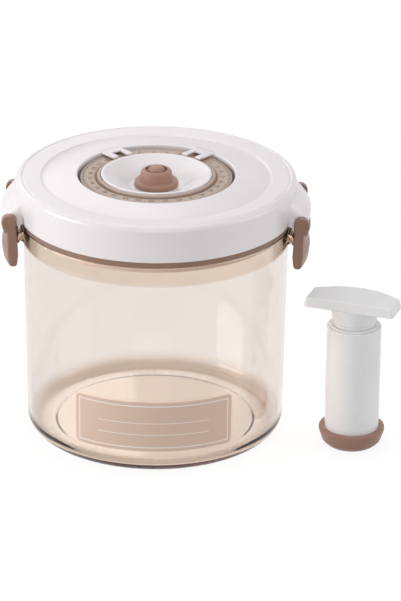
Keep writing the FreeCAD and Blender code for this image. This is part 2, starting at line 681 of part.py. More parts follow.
def lid_base():
    """The pressure wall of the lid: plug, flange, drum under the dial, and the pump dish."""
    wedge = f"dish_floor_radius + {DISH_SLOPE} * (ledge_height - base_wall - {DISH_UNDER})"
    shell = turned(
        "BaseShell",
        (
            ("floor_bore", STEM_BORE, "dish_floor"),
            ("floor_edge", "dish_floor_radius", "dish_floor"),
            ("dish_inner", DISH_BORE, "dish_height"),
            ("dish_outer", "dish_radius", "dish_height"),
            ("dish_foot", "dish_radius", "ledge_height"),
            ("ledge", "ledge_radius", "ledge_height"),
            ("drum_foot", "ledge_radius + drum_draft", FLANGE_TOP),
            ("flange_top", FLANGE_RADIUS, FLANGE_TOP),
            ("flange_low", FLANGE_RADIUS, FLANGE_LOW),
            ("seat_top", "seat_radius", FLANGE_LOW),
            ("seat", "seat_radius", LID_LOW),
            ("plug_root", PLUG_RADIUS, LID_LOW),
            ("plug_low", PLUG_RADIUS, f"{LID_LOW} - plug_depth"),
            ("plug_inner", f"{PLUG_RADIUS} - plug_wall", f"{LID_LOW} - plug_depth"),
            ("plate_edge", f"{PLUG_RADIUS} - plug_wall", FLANGE_LOW),
            ("drum_inner", "ledge_radius + drum_draft - base_wall", FLANGE_LOW),
            ("ledge_under", "ledge_radius - base_wall", "ledge_height - base_wall"),
            ("wedge", wedge, "ledge_height - base_wall"),
            ("floor_under", "dish_floor_radius", DISH_UNDER),
            ("bore_under", STEM_BORE, DISH_UNDER),
        ),
    )
    count = int(size("vent_count"))
    vents = []
    for index in range(count):
        turn = f"({index} * {FULL_TURN} / {count})"
        vents.append(
            cylinder(
                f"Vent{index}",
                "vent_radius",
                "base_wall * 3",
                f"vent_circle * cos({turn})",
                f"vent_circle * sin({turn})",
                f"{DISH_UNDER} - base_wall",
            )
        )
    node("lid_base", cut_away("Base", shell, joined("Vents", vents)))


def lid_gasket():
    """The silicone ring stretched over the plug, on the rim of the canister."""
    ring = turned(
        "Gasket",
        (
            ("inner_low", f"{PLUG_RADIUS} + glue_gap", "rim_height"),
            ("outer_low", "gasket_radius", "rim_height"),
            ("outer_top", "gasket_radius", LID_LOW),
            ("inner_top", f"{PLUG_RADIUS} + glue_gap", LID_LOW),
        ),
        rounds={"gasket_round": ("outer_low", "outer_top")},
    )
    node("lid_gasket", ring)


def dial():
    """The date ring with its raised lip and a ring of ticks."""
    body = turned(
        "Dial",
        (
            ("bore_low", DIAL_BORE, "ledge_height"),
            ("edge_low", "dial_radius", "ledge_height"),
            ("edge_top", "dial_radius", DIAL_TOP),
            ("lip_foot", "lip_radius", DIAL_TOP),
            ("lip_outer", "lip_radius", LIP_TOP),
            ("lip_inner", DIAL_BORE, LIP_TOP),
        ),
        rounds={"dial_round": ("edge_top", "lip_outer")},
    )
    outer = "(dial_radius - tick_margin)"
    sketch = outline(
        body,
        "TickOutline",
        "XY_Plane",
        (
            ("inner_near", f"{outer} - tick_length", "-tick_width / 2"),
            ("outer_near", outer, "-tick_width / 2"),
            ("outer_far", outer, "tick_width / 2"),
            ("inner_far", f"{outer} - tick_length", "tick_width / 2"),
        ),
    )
    bind(sketch, {"AttachmentOffset.Base.z": DIAL_TOP})
    tick = body.newObject("PartDesign::Pad", "Tick")
    tick.Profile = sketch
    bind(tick, {"Length": "tick_height"})
    doc.recompute()
    ticks = body.newObject("PartDesign::PolarPattern", "Ticks")
    ticks.Originals = [tick]
    ticks.Axis = (sketch, ["N_Axis"])
    ticks.Angle = FULL_TURN
    bind(ticks, {"Occurrences": "tick_count"})
    body.Tip = ticks
    doc.recompute()
    node("dial_ring", body)


def valve():
    """The one-way boot over the vents, and the release button with stem, spring, seal and clip."""
    flap_top = "(dish_floor + boot_flange_height)"
    mouth_low = f"({BOOT_TOP} - boot_mouth_depth)"
    boot = turned(
        "Boot",
        (
            ("cavity_low", "boot_cavity_radius", "dish_floor"),
            ("flap_low", "boot_flange_radius", "dish_floor"),
            ("flap_top", "boot_flange_radius", flap_top),
            ("dome_foot", "boot_radius", flap_top),
            ("shoulder", "boot_top_radius", BOOT_TOP),
            ("mouth_top", "boot_mouth_radius", BOOT_TOP),
            ("mouth_low", "boot_mouth_radius", mouth_low),
            ("cavity_top", "boot_cavity_radius", mouth_low),
        ),
        rounds={"boot_round": ("shoulder",), "flap_round": ("flap_top",)},
    )
    node("valve_boot", boot)
    button = turned(
        "Button",
        (
            ("tail", "0", f"{CLIP_LOW} - stem_tail"),
            ("tail_edge", "stem_radius", f"{CLIP_LOW} - stem_tail"),
            ("stem_top", "stem_radius", BUTTON_FLANGE_LOW),
            ("flange_low", "button_flange_radius", BUTTON_FLANGE_LOW),
            ("flange_top", "button_flange_radius", BUTTON_FLANGE_TOP),
            ("dome_foot", "button_radius", BUTTON_FLANGE_TOP),
            ("dome_edge", "button_radius", "dish_floor + button_height"),
            ("dome_top", "0", "dish_floor + button_height"),
        ),
        rounds={"button_round": ("dome_edge",)},
    )
    node("release_button", button)
    collar("Seal", "release_seal", "seal_radius", SEAL_LOW, DISH_UNDER)
    collar("Clip", "release_clip", "clip_radius", CLIP_LOW, SEAL_LOW)
    release_spring()


def collar(name, label, radius, low, top):
    """A ring that grips the release stem between two heights."""
    ring = turned(
        name,
        (
            ("bore_low", SEAL_HOLE, low),
            ("edge_low", radius, low),
            ("edge_top", radius, top),
            ("bore_top", SEAL_HOLE, top),
        ),
    )
    node(label, ring)


def arc_middle(start, heading, end):
    """The middle of the arc that leaves start along heading and reaches end."""
    chord = end - start
    along = FreeCAD.Vector(chord).normalize()
    side = heading - along * heading.dot(along)
    bend = math.atan2(side.Length, heading.dot(along))
    return start + chord * 0.5 + side.normalize() * (chord.Length / 2 * math.tan(bend / 2))


def biarc(start, heading, end, arrival):
    """Two arcs, tangent to each other, from one point and direction to another."""
    span = end - start
    both = heading + arrival
    spread = 2 * (1 - heading.dot(arrival))
    along = span.dot(both)
    reach = (math.sqrt(along**2 + spread * span.dot(span)) - along) / spread
    joint = (start + end + (heading - arrival) * reach) * 0.5
    first = Part.Arc(start, arc_middle(start, heading, joint), joint)
    second = Part.Arc(joint, arc_middle(end, arrival * -1, joint), end)
    return [first.toShape(), second.toShape()]


def release_spring():
    """A helical spring round the stem, on biarcs of a quarter turn, printed with its least gap."""
    radius = size("spring_radius")
    wire = size("spring_wire")
    turns = size("spring_turns")
    room = size("spring_room") + wire / 2
    low = size("dish_floor") + room
    pitch = (size(BUTTON_FLANGE_LOW) - room - low) / turns
    print(f"release_spring: least gap between turns {pitch - wire:.2f} mm")

    def point(turn):
        angle = 2 * math.pi * turn
        return FreeCAD.Vector(radius * math.cos(angle), radius * math.sin(angle), low + pitch * turn)

    def heading(turn):
        angle = 2 * math.pi * turn
        rise = pitch / (2 * math.pi)
        return FreeCAD.Vector(-radius * math.sin(angle), radius * math.cos(angle), rise).normalize()

    quarters = round(turns * 4)
    edges = []
    for index in range(quarters):
        near = index / 4
        far = (index + 1) / 4
        edges += biarc(point(near), heading(near), point(far), heading(far))
    path = Part.Wire(edges)
    section = Part.Wire(Part.Circle(point(0), heading(0), wire / 2).toShape())
    spring = doc.addObject("Part::Feature", "Spring")
    spring.Shape = path.makePipeShell([section], True, False)
    node("release_spring", spring)


def latch_lever(side):
    """A curved paddle with a hook and two round-headed cheeks that straddle the ear."""
    paddle_strip = turned(
        f"{side}PaddleStrip",
        (
            ("tip_inner", "paddle_inner + tip_inset / 2", "paddle_low"),
            ("tip_outer", "paddle_outer - tip_inset", "paddle_low"),
            ("belly", "paddle_outer", "belly_height"),
            ("neck", "neck_radius", "neck_height"),
            ("brow", "brow_radius", "brow_height"),
            ("top_outer", "(pivot_radius + brow_radius) / 2", "paddle_top"),
            ("top_inner", "paddle_inner", "brow_height"),
            ("belly_inner", "paddle_inner", "belly_height"),
        ),
        angle="strip_angle",
        rounds={"paddle_round": ("brow", "neck", "belly"), "tip_round": ("tip_inner", "tip_outer")},
    )
    window = block(
        f"{side}LeverWindow",
        ("ear_radius + head_radius", f"2 * {HALF_LEVER}", "rim_top"),
        ("0", f"-{HALF_LEVER}", "0"),
    )
    paddle = shared(f"{side}Paddle", paddle_strip, window)
    tip_top = f"({HOOK_TOP} - catch_slope * (catch_radius - hook_radius))"
    hook = turned(
        f"{side}Hook",
        (
            ("root_low", "paddle_inner + tip_inset", f"{HOOK_TOP} - hook_root"),
            ("tip_low", "hook_radius", f"{tip_top} - hook_height"),
            ("tip_top", "hook_radius", tip_top),
            ("lip_top", "catch_radius", HOOK_TOP),
            ("root_top", "paddle_inner + tip_inset", HOOK_TOP),
        ),
        angle="hook_angle",
    )
    cheeks = []
    for name, sign in (("Front", "-"), ("Back", "")):
        middle = f"{sign}({HALF_LEVER} - cheek_width / 2)"
        cheeks += lever_cheek(f"{side}{name}Cheek", middle)
    whole = joined(f"{side}LeverWhole", [paddle, hook, *cheeks])
    bore = cross_pin(f"{side}LeverBore", "(pin_radius + pin_fit)", f"(2 * ({HALF_LEVER} - cheek_skin))")
    return cut_away(f"{side}Lever", whole, bore)


def lever_cheek(name, middle):
    """A round head on the pin axis and the shank that runs down into the paddle."""
    head = doc.addObject("Part::Cylinder", f"{name}Head")
    bind(head, {"Radius": "head_radius", "Height": "cheek_width"})
    head.Placement.Rotation = FreeCAD.Rotation(X_AXIS, QUARTER_TURN)
    place(head, "pivot_radius", f"{middle} + cheek_width / 2", "pivot_height")
    shank_outer = f"(sqrt(brow_radius ^ 2 - {HALF_LEVER} ^ 2) - paddle_round)"
    shank_inner = f"sqrt(paddle_inner ^ 2 - ({HALF_EAR} + cheek_room) ^ 2)"
    shank = padded(
        f"{name}Shank",
        "XZ_Plane",
        (
            ("head_inner", "pivot_radius - head_radius", "pivot_height"),
            ("root_inner", shank_inner, "neck_height + paddle_round"),
            ("root_outer", shank_outer, "brow_height - paddle_round"),
            ("head_outer", "pivot_radius + head_radius", "pivot_height"),
        ),
        "cheek_width",
    )
    place(shank, "0", middle, "0")
    return [head, shank]


def latches():
    """Both levers and their pins."""
    node("right_latch_lever", latch_lever("Right"))
    node("left_latch_lever", half_turned(latch_lever("Left")))
    node("right_latch_pin", cross_pin("RightPin", "pin_radius", PIN_LENGTH))
    left = cross_pin("LeftPin", "pin_radius", PIN_LENGTH)
    bind(left, {"Placement.Base.x": "-pivot_radius"})
    node("left_latch_pin", left)


def at_pump(name, thing):
    """Stand a piece on the pump's axis and name it."""
    bind(thing, {"Placement.Base.x": "pump_x", "Placement.Base.y": "pump_y"})
    node(name, thing)


def pump_housing():
    """The barrel with its intake, the silicone cup, the rod's guide cap and the intake flap."""
    barrel = turned(
        "Barrel",
        (
            ("intake_low", "intake_radius", "cup_floor"),
            ("foot", "barrel_radius", "cup_floor"),
            ("rim_outer", "barrel_radius", "barrel_top"),
            ("rim_inner", BARREL_BORE, "barrel_top"),
            ("bottom_edge", BARREL_BORE, BARREL_INSIDE),
            ("intake_top", "intake_radius", BARREL_INSIDE),
        ),
        rounds={"barrel_round": ("rim_outer",)},
    )
    at_pump("pump_barrel", barrel)
    sleeve = "(barrel_radius + glue_gap)"
    cup = turned(
        "Cup",
        (
            ("mouth_low", "cup_mouth", "0"),
            ("foot", "cup_foot", "0"),
            ("heel", f"{sleeve} + cup_wall", "cup_floor"),
            ("lip_low", "cup_radius", "cup_height - cup_lip"),
            ("lip_top", "cup_radius", "cup_height"),
            ("sleeve_top", sleeve, "cup_height"),
            ("sleeve_low", sleeve, "cup_floor"),
            ("mouth_top", "cup_mouth", "cup_floor"),
        ),
        rounds={"cup_round": ("lip_low", "lip_top")},
    )
    at_pump("pump_cup", cup)
    guide = "(rod_radius + rod_fit)"
    cap = turned(
        "Cap",
        (
            ("guide_low", guide, "barrel_top - cap_depth"),
            ("plug_low", f"{BARREL_BORE} - glue_gap", "barrel_top - cap_depth"),
            ("plug_top", f"{BARREL_BORE} - glue_gap", "barrel_top"),
            ("flange_low", "cap_flange_radius", "barrel_top"),
            ("flange_top", "cap_flange_radius", CAP_TOP),
            ("guide_top", guide, CAP_TOP),
        ),
    )
    at_pump("pump_cap", cap)
    flap = turned(
        "Flap",
        (
            ("low", "0", BARREL_INSIDE),
            ("edge_low", "flap_radius", BARREL_INSIDE),
            ("edge_top", "flap_radius", f"{BARREL_INSIDE} + flap_thickness / 2"),
            ("top", "0", f"{BARREL_INSIDE} + flap_thickness"),
        ),
    )
    at_pump("intake_flap", flap)


def pump_handle():
    """The grip plate with its bowed back, on its boss and neck, bored for the rod."""
    boss = turned(
        "HandleBoss",
        (
            ("bore_low", "rod_radius + glue_gap", CAP_TOP),
            ("neck_low", "neck_low_radius", CAP_TOP),
            ("neck_top", "neck_low_radius", BOSS_LOW),
            ("boss_low", "boss_low_radius", BOSS_LOW),
            ("boss_top", "boss_radius", PLATE_LOW),
            ("top", "0", PLATE_LOW),
            ("bore_end", "0", GRIP_TOP),
            ("bore_top", "rod_radius + glue_gap", GRIP_TOP),
        ),
        rounds={"boss_round": ("boss_low", "boss_top")},
    )
    half = "(handle_length / 2)"
    side = "(handle_width / 2)"
    # Half way out, a parabola has dropped by a quarter of its bow.
    corners = (
        ("front_left", f"-{half}", f"-{side}"),
        ("front_right", half, f"-{side}"),
        ("end_right", half, f"{side} - handle_bow"),
        ("bow_right", f"{half} / 2", f"{side} - handle_bow / 4"),
        ("bow_middle", "0", side),
        ("bow_left", f"-{half} / 2", f"{side} - handle_bow / 4"),
        ("end_left", f"-{half}", f"{side} - handle_bow"),
    )
    plate = padded("HandlePlate", "XY_Plane", corners, "handle_thickness", "handle_draft")
    sweeps = rising_edges(plate.Tip.Shape, 0, size(BOW_REACH))
    round_edges(plate, sweeps, "handle_sweep")
    bends = rising_edges(plate.Tip.Shape, size(BOW_REACH), size("handle_length"))
    round_edges(plate, bends, "handle_corner")
    rims = [
        f"Edge{index}"
        for index, edge in enumerate(plate.Tip.Shape.Edges, start=1)
        if edge.BoundBox.ZMin > size("handle_thickness") - TOLERANCE
    ]
    round_edges(plate, rims, "handle_round")
    place(plate, "0", "0", PLATE_LOW)
    handle = joined("Handle", [boss, plate])
    handle.Placement.Rotation = FreeCAD.Rotation(Z_AXIS, QUARTER_TURN)
    bind(handle, {"Placement.Rotation.Angle": "pump_yaw"})
    at_pump("pump_handle", handle)


def pump_plunger():
    """The handle, rod, piston with its ring, and the screw that holds the piston."""
    pump_handle()
    rod = turned(
        "Rod",
        (
            ("thread_inner", "screw_radius + glue_gap", PISTON_TOP),
            ("foot", "rod_radius", PISTON_TOP),
            ("top_edge", "rod_radius", f"{GRIP_TOP} - glue_gap"),
            ("top", "0", f"{GRIP_TOP} - glue_gap"),
            ("thread_end", "0", f"{PISTON_LOW} + screw_length + glue_gap"),
            ("thread_top", "screw_radius + glue_gap", f"{PISTON_LOW} + screw_length + glue_gap"),
        ),
    )
    at_pump("pump_rod", rod)
    groove = f"({PISTON_RADIUS} - ring_depth)"
    piston = turned(
        "Piston",
        (
            ("bore_low", "screw_radius + glue_gap", PISTON_LOW),
            ("edge_low", PISTON_RADIUS, PISTON_LOW),
            ("groove_low", PISTON_RADIUS, RING_LOW),
            ("groove_root", groove, RING_LOW),
            ("groove_back", groove, f"{RING_LOW} + ring_height"),
            ("groove_top", PISTON_RADIUS, f"{RING_LOW} + ring_height"),
            ("edge_top", PISTON_RADIUS, PISTON_TOP),
            ("bore_top", "screw_radius + glue_gap", PISTON_TOP),
        ),
    )
    at_pump("pump_piston", piston)
    ring = turned(
        "PistonRing",
        (
            ("inner_low", f"{groove} + glue_gap", RING_LOW),
            ("outer_low", f"{BARREL_BORE} - ring_fit", RING_LOW),
            ("outer_top", f"{BARREL_BORE} - ring_fit", f"{RING_LOW} + ring_height"),
            ("inner_top", f"{groove} + glue_gap", f"{RING_LOW} + ring_height"),
        ),
    )
    at_pump("piston_ring", ring)
    screw = turned(
        "PistonScrew",
        (
            ("head_low", "0", f"{PISTON_LOW} - screw_head_height"),
            ("head_edge", "screw_head_radius", f"{PISTON_LOW} - screw_head_height"),
            ("head_top", "screw_head_radius", PISTON_LOW),
            ("shank_low", "screw_radius", PISTON_LOW),
            ("shank_edge", "screw_radius", f"{PISTON_LOW} + screw_length"),
            ("shank_top", "0", f"{PISTON_LOW} + screw_length"),
        ),
    )
    at_pump("piston_screw", screw)


def write_parts():
    """Check every object and write each sub-part to its own file."""
    doc.recompute()
    for thing in doc.Objects:
        if "Invalid" in thing.State or "Error" in thing.State:
            raise RuntimeError(f"{thing.Name} failed: {thing.State}")
    os.makedirs("parts", exist_ok=True)
    for name, thing in nodes:
        shape = thing.Shape
        if shape.isNull() or not shape.isValid() or shape.Volume <= 0:
            raise RuntimeError(f"{name}: the shape is empty or broken")
        shape.exportStep(os.path.join("parts", f"{name}.step"))
        print(f"{name}: {len(shape.Solids)} solid, {shape.Volume / 1000:.2f} cm3")


canister()
label()
lid_cover()
lid_base()
lid_gasket()
dial()
valve()
latches()
pump_housing()
pump_plunger()
write_parts()
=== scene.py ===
import math

import bmesh
import bpy
import numpy as np
from mathutils import Matrix, Vector


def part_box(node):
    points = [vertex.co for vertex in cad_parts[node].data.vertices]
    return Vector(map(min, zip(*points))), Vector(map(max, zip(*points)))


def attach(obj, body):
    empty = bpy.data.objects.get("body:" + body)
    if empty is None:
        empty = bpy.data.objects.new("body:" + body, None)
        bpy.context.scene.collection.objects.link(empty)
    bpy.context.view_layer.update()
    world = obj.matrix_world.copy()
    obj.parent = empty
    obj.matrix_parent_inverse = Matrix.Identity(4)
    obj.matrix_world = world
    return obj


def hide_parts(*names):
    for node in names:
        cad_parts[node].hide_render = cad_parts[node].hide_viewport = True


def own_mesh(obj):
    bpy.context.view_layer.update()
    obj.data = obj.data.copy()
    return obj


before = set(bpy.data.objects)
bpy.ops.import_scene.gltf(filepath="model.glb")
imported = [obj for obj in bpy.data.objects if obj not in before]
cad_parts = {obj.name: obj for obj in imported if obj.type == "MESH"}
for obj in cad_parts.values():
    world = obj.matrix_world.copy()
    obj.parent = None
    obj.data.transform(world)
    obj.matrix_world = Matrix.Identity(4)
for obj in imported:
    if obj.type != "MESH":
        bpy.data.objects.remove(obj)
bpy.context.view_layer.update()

bl_info = {
    "name": "Vacuum Canister Dressing",
    "version": (1, 0, 0),
    "blender": (4, 5, 0),
    "location": "View3D > Sidebar > Canister",
    "description": "Finished surfaces and materials for a vacuum seal canister and its hand pump",
    "category": "Object",
}

MM = 0.001
TURN = 2 * math.pi
# Steps round the lid's cover, and round a large, a middling and a small turned piece.
WIDEST, LARGE, MIDDLE, SMALL = 224, 192, 128, 96

# Places that the pieces share, read from the solids in model.glb.
RIM_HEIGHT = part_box("lid_gasket")[0].z
SKIRT_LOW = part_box("lid_gasket")[1].z
GASKET_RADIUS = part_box("lid_gasket")[1].y
COLLAR_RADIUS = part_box("canister_body")[1].y
LUG_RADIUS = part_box("canister_body")[1].x
LABEL_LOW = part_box("front_label")[0].z
LABEL_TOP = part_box("front_label")[1].z
PLUG_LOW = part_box("lid_base")[0].z
DISH_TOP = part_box("lid_base")[1].z
FLANGE_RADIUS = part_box("lid_base")[1].y
TAB_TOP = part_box("lid_cover")[1].z
DIAL_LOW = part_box("dial_ring")[0].z
LIP_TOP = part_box("dial_ring")[1].z
DIAL_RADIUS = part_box("dial_ring")[1].y
DISH_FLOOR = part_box("valve_boot")[0].z
BOOT_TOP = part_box("valve_boot")[1].z
FLAP_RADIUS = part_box("valve_boot")[1].y
BUTTON_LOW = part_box("release_button")[0].z
BUTTON_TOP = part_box("release_button")[1].z
BUTTON_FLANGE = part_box("release_button")[1].y
SPRING_LOW, SPRING_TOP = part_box("release_spring")
PIN_LOW, PIN_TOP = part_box("right_latch_pin")
PIVOT_X = (PIN_LOW.x + PIN_TOP.x) / 2
PIVOT_Z = (PIN_LOW.z + PIN_TOP.z) / 2
LEVER_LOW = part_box("right_latch_lever")[0].z
LEVER_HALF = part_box("right_latch_lever")[1].y
HEAD_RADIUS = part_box("right_latch_lever")[1].z - PIVOT_Z
BARREL_LOW, BARREL_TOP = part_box("pump_barrel")
BARREL_RADIUS = (BARREL_TOP.x - BARREL_LOW.x) / 2
PUMP_AXIS = (BARREL_LOW + BARREL_TOP) / 2
PUMP_FOOT = (PUMP_AXIS.x, PUMP_AXIS.y, 0.0)
CUP_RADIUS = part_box("pump_cup")[1].x - PUMP_AXIS.x
CUP_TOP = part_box("pump_cup")[1].z
CAP_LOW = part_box("pump_cap")[0].z
CAP_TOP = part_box("pump_cap")[1].z
HANDLE_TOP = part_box("pump_handle")[1].z


def length(name, default, description):
    """A size that shows in the sidebar, given in millimetres."""
    return bpy.props.FloatProperty(
        name=name, description=description, default=default * MM, min=0.0, precision=5, unit="LENGTH"
    )


def angle(name, default, description):
    """An angle in degrees that shows in the sidebar."""
    return bpy.props.FloatProperty(
        name=name, description=description, default=math.radians(default), subtype="ANGLE"
    )


def count(name, default, description):
    """A whole number that shows in the sidebar."""
    return bpy.props.IntProperty(name=name, description=description, default=default, min=1)


def amount(name, default, description):
    """A plain number that shows in the sidebar."""
    return bpy.props.FloatProperty(name=name, description=description, default=default, min=0.0)


def colour(name, default, description):
    """A linear colour that shows in the sidebar."""
    return bpy.props.FloatVectorProperty(
        name=name, description=description, default=default, size=3, min=0.0, max=1.0, subtype="COLOR"
    )


class CanisterSizes(bpy.types.PropertyGroup):
    """Sizes of the clear body and its label."""

    foot_radius: length("Foot radius", 83.0, "Outer radius just above the rounded foot")
    body_radius: length("Body radius", 85.0, "Outer radius under the collar")
    foot_round: length("Foot rounding", 10.0, "Outer rounding of the foot")
    wall: length("Wall", 2.6, "Side wall")
    floor: length("Floor", 3.6, "Thickness of the floor")
    floor_round: length("Floor rounding", 7.0, "Inner rounding at the floor")
    foot_width: length("Foot ring", 8.0, "Width of the ring it stands on")
    hollow: length("Hollow", 1.4, "Height of the hollow inside the foot ring")
    collar_height: length("Collar height", 12.7, "Height of the thick collar")
    collar_round: length("Collar rounding", 1.0, "Rounding of the collar's edges")
    mouth_radius: length("Mouth radius", 81.8, "Inner radius of the mouth")
    lug_top: length("Lug top", 140.0, "Height of the catch lugs' top")
    lug_low: length("Lug lip", 134.6, "Height of the catch lugs' lower lip")
    lug_round: length("Lug rounding", 0.5, "Rounding of the catch lugs")
    lug_room: length("Lug room", 0.05, "Room between a catch lug and the collar")
    lug_slope: amount("Lug slope", 0.47, "Fall of a catch lug's lower side to its root, per reach")
    lug_angle: angle("Lug angle", 26.0, "Angle that a catch lug spans")
    label_angle: angle("Label angle", 72.0, "Angle that the label spans")
    label_corner: length("Label corner", 3.0, "Corner radius of the label")
    label_film: length("Label film", 0.35, "Thickness of the label")
    label_gap: length("Label gap", 0.05, "Room between the wall and the label")


class LidSizes(bpy.types.PropertyGroup):
    """Sizes of the lid, its gasket, ears and pointer tabs."""

    radius: length("Radius", 90.0, "Outer radius at the rim")
    skirt_radius: length("Skirt radius", 88.4, "Outer radius of the skirt's lower edge")
    skirt_wall: length("Skirt wall", 2.4, "Wall of the skirt")
    wall: length("Deck wall", 2.2, "Wall of the deck and the base")
    rim_top: length("Rim height", 172.0, "Height of the rim")
    rim_round: length("Rim rounding", 5.0, "Outer rounding of the rim")
    crest: length("Rim crest", 84.0, "Radius where the rim's underside is highest")
    rim_inner: length("Rim inner", 74.0, "Inner radius of the rim")
    rim_dip: length("Rim dip", 0.5, "Fall of the rim to its inner edge")
    groove: length("Groove radius", 85.6, "Radius of the fine groove before the rim's rounding")
    groove_half: length("Groove half width", 0.9, "Half the width of that groove")
    groove_depth: length("Groove depth", 0.35, "Depth of that groove")
    step: length("Step radius", 72.8, "Radius of the step inside the rim")
    step_height: length("Step height", 170.6, "Height of the step")
    plateau: length("Plateau radius", 64.8, "Radius where the deck's slope changes")
    plateau_height: length("Plateau height", 172.3, "Height there")
    deck_round: length("Deck rounding", 70.0, "Rounding where the deck's slope changes")
    deck: length("Deck height", 173.3, "Height of the deck at the dial")
    recess: length("Recess radius", 50.3, "Radius of the dial's recess")
    recess_wall: length("Recess wall", 1.9, "Wall round the recess")
    recess_drop: length("Recess drop", 6.0, "Reach of the recess wall below the dial")
    bead: length("Bead", 1.6, "Reach of the snap bead inside the skirt")
    bead_face: length("Bead face", 1.0, "Height of the bead's inner face")
    bead_room: length("Bead room", 0.2, "Room between the bead and the base's flange")
    flange_lift: length("Flange lift", 2.6, "Height of the base's flange above the gasket")
    flange: length("Flange", 2.4, "Thickness of the base's flange")
    plug_radius: length("Plug radius", 80.8, "Outer radius of the plug in the mouth")
    plug_wall: length("Plug wall", 2.4, "Wall of the plug")
    seat_radius: length("Seat radius", 83.8, "Radius of the gasket's seat")
    gasket_room: length("Gasket room", 0.05, "Room between the plug and the gasket")
    gasket_round: length("Gasket rounding", 0.9, "Rounding of the gasket's outer edges")
    ledge: length("Ledge radius", 48.2, "Radius of the ledge under the dial")
    drum_foot: length("Drum foot", 49.2, "Radius of the drum wall at its foot")
    dish_radius: length("Dish radius", 35.4, "Outer radius of the dish's rim")
    dish_rim: length("Dish rim", 1.6, "Width of the dish's rim")
    dish_floor: length("Dish floor radius", 17.0, "Radius of the dish's flat floor")
    stem_bore: length("Stem bore", 2.6, "Radius of the hole for the release stem")
    vent: length("Vent radius", 0.9, "Radius of a vent hole under the flap")
    vent_circle: length("Vent circle", 12.0, "Radius of the circle of vent holes")
    vents: count("Vents", 6, "Number of vent holes")
    ear_half: length("Ear half width", 27.2, "Half the width of a latch ear")
    ear_reach: length("Ear reach", 6.3, "Reach of an ear outside the pin's axis")
    ear_top: length("Ear top", 164.5, "Height where an ear leaves the skirt")
    ear_shoulder: length("Ear shoulder", 6.4, "Height of the ear's shoulder above the pin")
    ear_nose: length("Ear nose", 2.2, "Half the height of the ear's nose")
    ear_round: length("Ear rounding", 2.6, "Rounding of the ear's nose")
    ear_end: length("Ear ends", 4.0, "Rounding of an ear's two ends")
    tab_angle: angle("Tab angle", 37.0, "Angle of a pointer tab either side of the back")
    tab_reach: length("Tab reach", 36.2, "Radius of a tab's inner end")
    tab_half: length("Tab half width", 7.5, "Half the width of a tab")
    tab_thick: length("Tab thickness", 1.3, "Thickness of a tab")
    tab_corner: length("Tab corner", 0.6, "Corner radius of a tab")
    tab_edge: length("Tab edge", 0.35, "Rounding of a tab's upper rim")
    tab_foot: length("Tab foot", 0.2, "Rounding of a tab's lower rim")
    tab_bend: length("Tab bend", 2.85, "Length of a tab's end that bends down to the deck")
    tab_lift: length("Tab lift", 0.05, "Height of that end above the deck")
    notch_half: length("Notch half width", 3.25, "Half the width of a tab's notch")
    notch: length("Notch depth", 8.0, "Depth of a tab's notch")
    soft_edge: length("Soft edge", 0.5, "Rounding of the lid's small edges")


class DialSizes(bpy.types.PropertyGroup):
    """Sizes of the date dial and the valve."""

    bore: length("Bore", 35.48, "Inner radius of the dial")
    band: length("Band", 3.2, "Thickness of the dial's band")
    lip: length("Lip radius", 37.8, "Outer radius of the raised lip")
    lip_lean: length("Lip lean", 0.3, "How far the lip leans out over its foot")
    lip_groove: length("Lip groove", 1.9, "Depth and width of the groove at the lip's foot")
    edge: length("Edge", 0.6, "Rounding of the dial's edges")
    days: count("Days", 31, "Numbers round the dial")
    day_ticks: count("Day ticks", 4, "Ticks to a day")
    tick_length: length("Tick length", 1.8, "Length of a tick")
    tick_half: length("Tick half width", 0.25, "Half the width of a tick")
    tick_margin: length("Tick margin", 0.9, "Distance of the ticks from the edge")
    tick_edge: length("Tick edge", 0.08, "Rounding of a tick's upper rim")
    tick_foot: length("Tick foot", 0.02, "Rounding of a tick's lower rim")
    relief: length("Relief", 0.32, "Height of ticks and numbers")
    number_size: length("Number size", 4.1, "Type size of the numbers")
    number_radius: length("Number radius", 42.4, "Radius of the numbers' middle")
    flap_height: length("Flap height", 3.5, "Height of the valve's flap")
    flap_round: length("Flap rounding", 1.3, "Rounding of the flap")
    boot_radius: length("Boot radius", 10.8, "Radius at the foot of the dome")
    boot_top: length("Boot top radius", 9.6, "Radius at the top of the dome")
    boot_round: length("Boot rounding", 2.4, "Rounding of the dome's shoulder")
    cavity: length("Cavity", 8.3, "Radius of the boot's cavity")
    mouth: length("Mouth", 7.0, "Radius of the boot's mouth")
    mouth_depth: length("Mouth depth", 1.6, "Thickness round the mouth")
    valve_edge: length("Valve edge", 0.3, "Rounding of small edges of boot and button")
    button: length("Button radius", 5.6, "Radius of the release button's dome")
    button_round: length("Button rounding", 3.4, "Rounding of the dome")
    button_room: length("Button room", 0.2, "Play under the boot's mouth")
    button_flange: length("Button flange", 1.5, "Height of the button's flange")
    stem: length("Stem", 2.2, "Radius of the button's stem")
    travel: length("Travel", 2.5, "How far the release button goes down")
    spring_wire: length("Spring wire", 0.8, "Thickness of the spring's wire")
    spring_turns: count("Spring turns", 4, "Turns of the spring")


